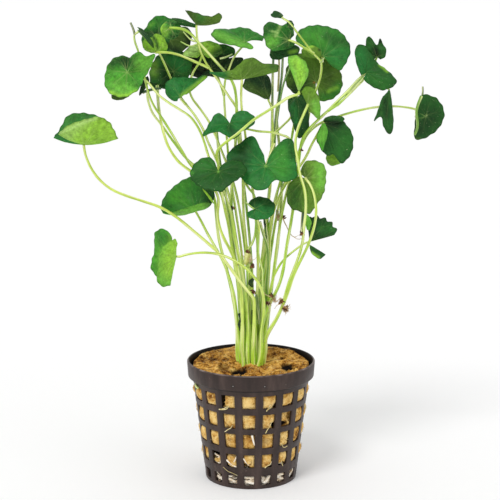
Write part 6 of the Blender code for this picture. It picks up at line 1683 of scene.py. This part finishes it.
def plug_surface():
    """The plug's rows of points, how much painted shade each has in its holes and gaps, and where loose
    fibres may lie.
    """
    profile, wall_from, wall_to = plug_profile()
    angle = np.linspace(0, 2 * math.pi, PLUG_STEPS, endpoint=False)
    grid_r = np.repeat(profile[1:-1, :1], PLUG_STEPS, axis=1)
    grid_z = np.repeat(profile[1:-1, 1:], PLUG_STEPS, axis=1)
    grid_a = np.repeat(angle[None], len(grid_r), axis=0)
    row = np.arange(1, len(profile) - 1)[:, None]
    on_wall = (row >= wall_from) & (row < wall_to)
    on_top = row >= wall_to
    flat = turned(grid_r, grid_a, grid_z)
    swell = window_bulge(grid_a, grid_z) * on_wall
    amount = 1.05 + 0.5 * np.abs(np.cos(grid_a)) ** 3 + 0.55 * value_noise(flat, 6.5, 3)
    rough = 0.3 * value_noise(flat, 2.2, 5) + 0.16 * value_noise(flat, 0.9, 6)
    grid_r = grid_r + swell * amount + rough * swell
    dents = np.clip(value_noise(flat, 5.0, 11) - DENT_FROM, 0, 1) * DENT_DEPTH
    grid_r = grid_r - dents * on_wall * (grid_z < BAND_BOTTOM)
    lumps = value_noise(flat, 6.0, 7) + 0.95 * value_noise(flat, 2.6, 8) + 0.5 * value_noise(flat, 1.1, 9)
    lumps = lumps * np.clip((24.5 - grid_r) / 3, 0.35, 1) + 0.9 * np.clip(flat[..., 1] / 18, -0.6, 1)
    grid_z = grid_z + on_top * lumps
    low_edge = row <= wall_from + 6
    grid_z = grid_z + low_edge * (value_noise(flat, 5.0, 14) + 0.4 * value_noise(flat, 1.6, 15))
    pit = np.zeros(flat.shape[:2])
    ragged = 1 + 0.4 * value_noise(flat, 1.3, 21) + 0.25 * value_noise(flat, 0.7, 22)
    for x, level, half_width, half_height in GAPS:
        wide = wall_radius(level) - 0.5
        place = np.array([x, -math.sqrt(wide * wide - x * x), level])
        near = np.linalg.norm((flat - place) / (half_width, half_width * 1.4, half_height), axis=-1) * ragged
        share = np.clip(1.25 - near, 0, 1) * on_wall
        grid_r = grid_r - GAP_DEPTH * share ** 0.6
        pit = np.maximum(pit, np.clip(share * 3, 0, 1))
    spot = turned(grid_r, grid_a, grid_z)
    for x, y, height, half, depth, dark in PITS:
        near = np.linalg.norm((spot - (x, y, height)) / half, axis=-1) * ragged
        share = np.clip(1 - near, 0, 1) * on_top
        spot[..., 2] -= depth * share ** 0.6
        pit = np.maximum(pit, dark * np.clip(share * 4, 0, 1))
    in_ring = (grid_r > FIBRE_RING[0]) & (grid_r < FIBRE_RING[1])
    bare = (swell > SWOLLEN) | (on_top & in_ring & (pit < 0.1))
    points = np.vstack([[(0, 0, profile[0, 1])], spot.reshape(-1, 3), [(0, 0, profile[-1, 1])]])
    return points, [np.concatenate([[0], values.ravel(), [0]]) for values in (pit, bare)]


def make_plug(wool, fibres):
    points, (pit, bare) = plug_surface()
    index = np.arange(1, len(points) - 1).reshape(-1, PLUG_STEPS)
    after = np.roll(index, -1, axis=1)
    quads = np.stack([index[:-1], after[:-1], after[1:], index[1:]], axis=-1).reshape(-1, 4)
    bottom = np.stack([np.zeros(PLUG_STEPS, int), after[0], index[0]], axis=1)
    cap = np.stack([index[-1], after[-1], np.full(PLUG_STEPS, len(points) - 1)], axis=1)
    faces = [tuple(f) for part in (bottom, quads, cap) for f in part.tolist()]
    made = mesh_object("wool_plug", points, faces, [wool])
    store(made.data, "pit", pit)
    for finish, (name, density, length, thick, seed) in zip(fibres, FIBRE_KINDS):
        bed = mesh_object(name + "_bed", points, faces, [])
        store(bed.data, "bare", bare)
        grow(bed, FIBRES, Density=density, Length=length, Thickness=thick, Seed=seed, Finish=finish)
        dress(as_plain_mesh(bed, name), None)
    return dress(made, "rockwool_plug")


# Roots

# White roots that show in the front windows: (width in mm, route as (x, z, how far out of the wall's face))
WINDOW_ROOTS = [
    (1.5, [(-4.6, 4.6, -3), (-2.4, 4.9, -1.4), (1.5, 4.7, -1.3), (2.6, 4.4, -3)]),
    (1.4, [(-3.4, 3.4, -3), (-1.8, 3.0, -1.4), (0.6, 2.3, -1.3), (2.0, 2.6, -1.4), (4.4, 3.4, -3)]),
    (1.7, [(9.6, 6.2, -3), (7.8, 5.2, -1.5), (6.9, 4.2, -1.4), (6.2, 3.0, -1.4), (5.0, 2.5, -1.5),
        (3.4, 3.6, -3)]),
    (1.3, [(-11.4, 3.2, -3), (-9.3, 3.6, -1.3), (-7.4, 3.0, -1.3), (-6.3, 2.4, -1.4), (-5.2, 2.6, -3)]),
    (0.8, [(-10.8, 5.6, -3), (-9.1, 5.0, -1.1), (-7.6, 5.1, -1.1), (-6.2, 5.6, -3)]),
    (1.1, [(10.2, 5.6, -3), (11.6, 5.2, -1.2), (13.4, 4.6, -1.2), (14.8, 4.8, -3)]),
    (1.0, [(10.6, 2.6, -3), (11.9, 3.0, -1.2), (13.7, 2.5, -1.2), (15.4, 3, -3)]),
    (0.8, [(15.4, 2.4, -3), (16.2, 3.2, -0.9), (17.5, 5.3, -1.0), (18.2, 7, -3)]),
    (0.5, [(-15.4, 5.6, -3), (-13.9, 5.2, -1.0), (-12.8, 4.4, -1.0), (-13.6, 3.4, -1.0),
        (-12.5, 2.4, -1.1), (-12, 2, -3)]),
    (0.75, [(-15.4, 12.6, -3), (-14.2, 13.2, -0.8), (-12.8, 12.8, -0.7), (-13.6, 11.7, -0.7),
        (-12.4, 11.1, -0.7), (-12.8, 9.9, -0.8), (-14.4, 10, -1.4), (-15.6, 10.4, -3)]),
    (0.7, [(-11, 12.6, -2.6), (-9.9, 12.1, -0.4), (-8, 10.6, -0.2), (-6.1, 9.7, -0.4), (-5, 9.4, -2.6)]),
    (0.6, [(-5.4, 14.2, -2.6), (-6.1, 13.6, -0.4), (-7, 11.8, -0.1), (-8.3, 10.2, -0.4), (-9, 9.4, -2.6)]),
    (0.55, [(-4, 14.4, -2.4), (-3.1, 13.6, -0.4), (-2.2, 12.2, -0.2), (-1, 10.8, -0.4),
        (-0.4, 9.8, -2.4)]),
    (0.9, [(0.2, 24.2, -1.6), (0.5, 23.4, -0.3), (0.9, 21.8, 0), (1.3, 20, -0.3), (1.6, 19.4, -1.6)]),
]

# Straw wisps pulled out over the windows' sills, given in the same way
WISPS = [
    (0.5, [(-12.9, 34.3, 0.2), (-11.4, 34.6, 0.4), (-9.8, 35.1, 0.3), (-8.8, 36.6, -0.6),
        (-8.4, 38, -1.4)]),
    (0.4, [(-12, 34.5, 0.3), (-10.4, 35.4, 0.3), (-9.4, 36.2, -0.3), (-9.2, 37.4, -1.2)]),
    (0.4, [(6.2, 34.4, 0.3), (7, 35.6, 0.2), (7.8, 36.9, 0), (8.8, 38.6, -0.9)]),
    (0.3, [(6.8, 35, 0.3), (8.2, 36, 0.1), (9.4, 37.6, -0.8)]),
    (0.4, [(5.9, 24.8, 0.3), (6.6, 26.2, 0.2), (7.6, 27.6, 0), (8.6, 29.6, -0.9)]),
    (0.3, [(14.8, 17.4, 0.3), (13.4, 17.2, 0.2), (12.6, 18.6, -0.2), (12.4, 20.6, -1)]),
    (0.35, [(-10.6, 24.8, 0.2), (-9.4, 25.9, 0.1), (-8, 27, -0.2), (-7.2, 28.8, -1)]),
    (0.4, [(5.6, 9.4, 0.2), (6.6, 10.2, 0.1), (7.8, 10.6, -0.1), (8.6, 12.2, -0.9)]),
    (0.3, [(13, 9, 0.3), (12.6, 10.6, 0.1), (12.2, 12.4, -0.8)]),
    (0.22, [(-11.4, 8.9, 0.3), (-9.6, 7.6, 0.5), (-7.6, 6.9, 0.4), (-5.8, 6.1, 0.1), (-4.8, 5.2, -1)]),
    (0.3, [(22.6, 29.6, 0.2), (22.7, 30.6, 0.9), (22.4, 32, 0.6), (21.6, 33, -0.6)]),
    (0.3, [(22.2, 28.8, 0.2), (22.4, 30, 0.8), (22.3, 31.4, 0.3), (21.2, 32, -0.6)]),
]

# A scrap of leaf caught under the rim band, as its route
GREEN_SCRAP = [(-22.8, 41.8, -1.2), (-22.6, 41.2, 0.2), (-21.9, 40.6, 0.3), (-21, 40.4, -1)]

# Roots under the plug: (how many, radius in mm)
ROOT_KINDS = [(18, 0.72), (20, 0.42), (32, 0.17)]
ROOT_TURNS = 9
ROOT_TOP = 10.4
ROOT_POINTS = 40

# Where a root may lie: its height and its distance from the axis in mm, and how far round it winds
ROOT_HEIGHTS = (2.0, 8.5)
ROOT_REACHES = (14.4, 18.6)
ROOT_WINDS = (0.35, 1.6)


def against_wall(route):
    """Points in mm for a route of (x, z, how far out of the wall's face), at the front of the pot."""
    points = []
    for x, z, out in route:
        radius = wall_radius(z) + out
        points.append((x, -math.sqrt(max(radius * radius - x * x, 1.0)), z))
    return points


def make_wall_growth(name, routes, finish):
    """Roots or wisps that show at the pot's windows, with a slight waver in their width."""
    paths = []
    for number, (width, route) in enumerate(routes):
        path, length = even_curve(against_wall(route), ROOT_POINTS)
        radius = 0.5 * width * (1 + 0.1 * np.sin(np.linspace(0, length, ROOT_POINTS) * 1.1 + number))
        paths.append((path, radius * np.linspace(1, 0.75, ROOT_POINTS), (1, 1, 1)))
    tubes(name, paths, ROOT_SIDES, finish)


def make_green_scrap(finish):
    count = 16
    path, _ = even_curve(against_wall(GREEN_SCRAP), count)
    radius = 0.55 * np.sin(np.linspace(0.5, 2.6, count))
    tubes("green_scrap", [(path, radius, TONES["bright"])], ROOT_SIDES, finish)


def make_roots(finish):
    """White roots that wind round the bottom of the pot, under the plug."""
    dice = np.random.default_rng(12)
    paths = []
    for number, thick in enumerate(thick for count, thick in ROOT_KINDS for _ in range(count)):
        angle = dice.uniform(0, 2 * math.pi)
        height = dice.uniform(*ROOT_HEIGHTS)
        reach = dice.uniform(*ROOT_REACHES)
        turn = dice.uniform(*ROOT_WINDS) * dice.choice([-1, 1])
        points = []
        for share in np.linspace(0, 1, ROOT_TURNS):
            z = height + dice.uniform(-1.7, 1.7) + 2.5 * math.sin(3 * share + number)
            z = np.clip(z, FLOOR + thick, ROOT_TOP)
            radius = min(reach + dice.uniform(-1.6, 1.2), wall_radius(z) - WALL - thick - 0.1)
            points.append(turned(radius, angle + turn * share, z))
        path, length = even_curve(points, ROOT_POINTS)
        waver = 1 + 0.12 * np.sin(np.linspace(0, length, ROOT_POINTS) * 1.3 + number)
        paths.append((path, thick * np.linspace(1, 0.55, ROOT_POINTS) * waver, (1, 1, 1)))
    tubes("root_tangle", paths, ROOT_SIDES, finish, "roots")


# Stage

# Soft lamps: (name, strength, spread and turns in degrees)
LAMPS = [("key_light", 1.1, 20, (38, 0, -30)), ("fill_light", 0.15, 40, (62, 0, 55))]
SKY = 0.74
FILM = 36
LENS = 1545 / 500 * FILM
TILT_DOWN = 11.2


def make_stage():
    corners = [(x * FLOOR_REACH, y * FLOOR_REACH, 0) for x, y in ((-1, -1), (1, -1), (1, 1), (-1, 1))]
    pale = Finish("pale_floor", 0.9, Specular_IOR_Level=0.1, Base_Color=(0.98, 0.98, 0.98))
    mesh_object("floor", corners, [(0, 1, 2, 3)], [pale.material])
    world = bpy.data.worlds.new("studio")
    world.use_nodes = True
    background = world.node_tree.nodes["Background"].inputs
    background["Color"].default_value = (1.0, 1.0, 1.0, 1.0)
    background["Strength"].default_value = SKY
    bpy.context.scene.world = world
    for name, strength, spread, turn in LAMPS:
        light = bpy.data.lights.new(name, "SUN")
        light.energy = strength
        light.angle = math.radians(spread)
        lamp = link(bpy.data.objects.new(name, light))
        lamp.rotation_euler = [math.radians(t) for t in turn]
    camera = bpy.data.cameras.new("camera")
    camera.lens = LENS
    camera.sensor_width = FILM
    camera.clip_start = 0.05
    camera.clip_end = 50
    viewer = link(bpy.data.objects.new("camera", camera))
    viewer.location = (EYE - (0, 0, GROUND_READS)) * MM
    viewer.rotation_euler = (math.radians(90 - TILT_DOWN), 0, 0)
    bpy.context.scene.camera = viewer
    bpy.context.scene.view_settings.view_transform = "Standard"


# The whole plant


def make_leaves():
    faces = [leaf_finish("leaf_upper_face", -0.5, 0.35, 0.46), leaf_finish("leaf_underside", 0.8, 0.45, 0.55)]
    for leaf in LEAVES:
        make_blade(leaf, faces, leaf.name)
    for leaf in SPRIGS:
        make_blade(leaf, faces)


def make_bunch(stalk):
    """The stems and all the small growth on them."""
    ease_apart(STEMS)
    make_stalks(stalk)
    make_side_shoots(stalk)
    make_base(stalk)
    dice = np.random.default_rng(31)
    brown = joint_finish()
    rootlet = plain_finish("white_rootlet", (150, 110, 70), (206, 176, 128), (236, 222, 190), 1.5, 0.6)
    dead = plain_finish("dead_leaf", (18, 36, 14), (34, 62, 24), (66, 92, 38), 1.2, 0.7)
    make_wraps("sheaths", SHEATHS, dice, stalk)
    make_wraps("leaf_scraps", SCRAPS, dice, dead)
    make_fuzz(dice, rootlet)
    make_joints(dice, brown)
    make_rootlets(dice, rootlet)


def make_pot_and_roots(stalk):
    make_pot(pot_finish())
    straw = plain_finish("straw_fibre", (170, 132, 76), (222, 188, 124), (250, 228, 176), 2.0, 0.8)
    hair = plain_finish("brown_fibre", (60, 32, 12), (110, 66, 28), (150, 100, 50), 2.0, 0.85)
    make_plug(rockwool_finish(), (straw, hair))
    white = plain_finish("white_root", (212, 180, 138), (252, 240, 218), (255, 254, 250), 1.8, 0.5)
    make_roots(white)
    wisp = plain_finish("pale_wisp", (186, 160, 96), (224, 208, 150), (246, 240, 204), 1.6, 0.7)
    make_wall_growth("window_roots", WINDOW_ROOTS, white)
    make_wall_growth("straw_wisps", WISPS, wisp)
    make_green_scrap(stalk)


make_leaves()
stalk = stem_finish()
make_bunch(stalk)
make_pot_and_roots(stalk)
make_stage()

bpy.context.view_layer.update()
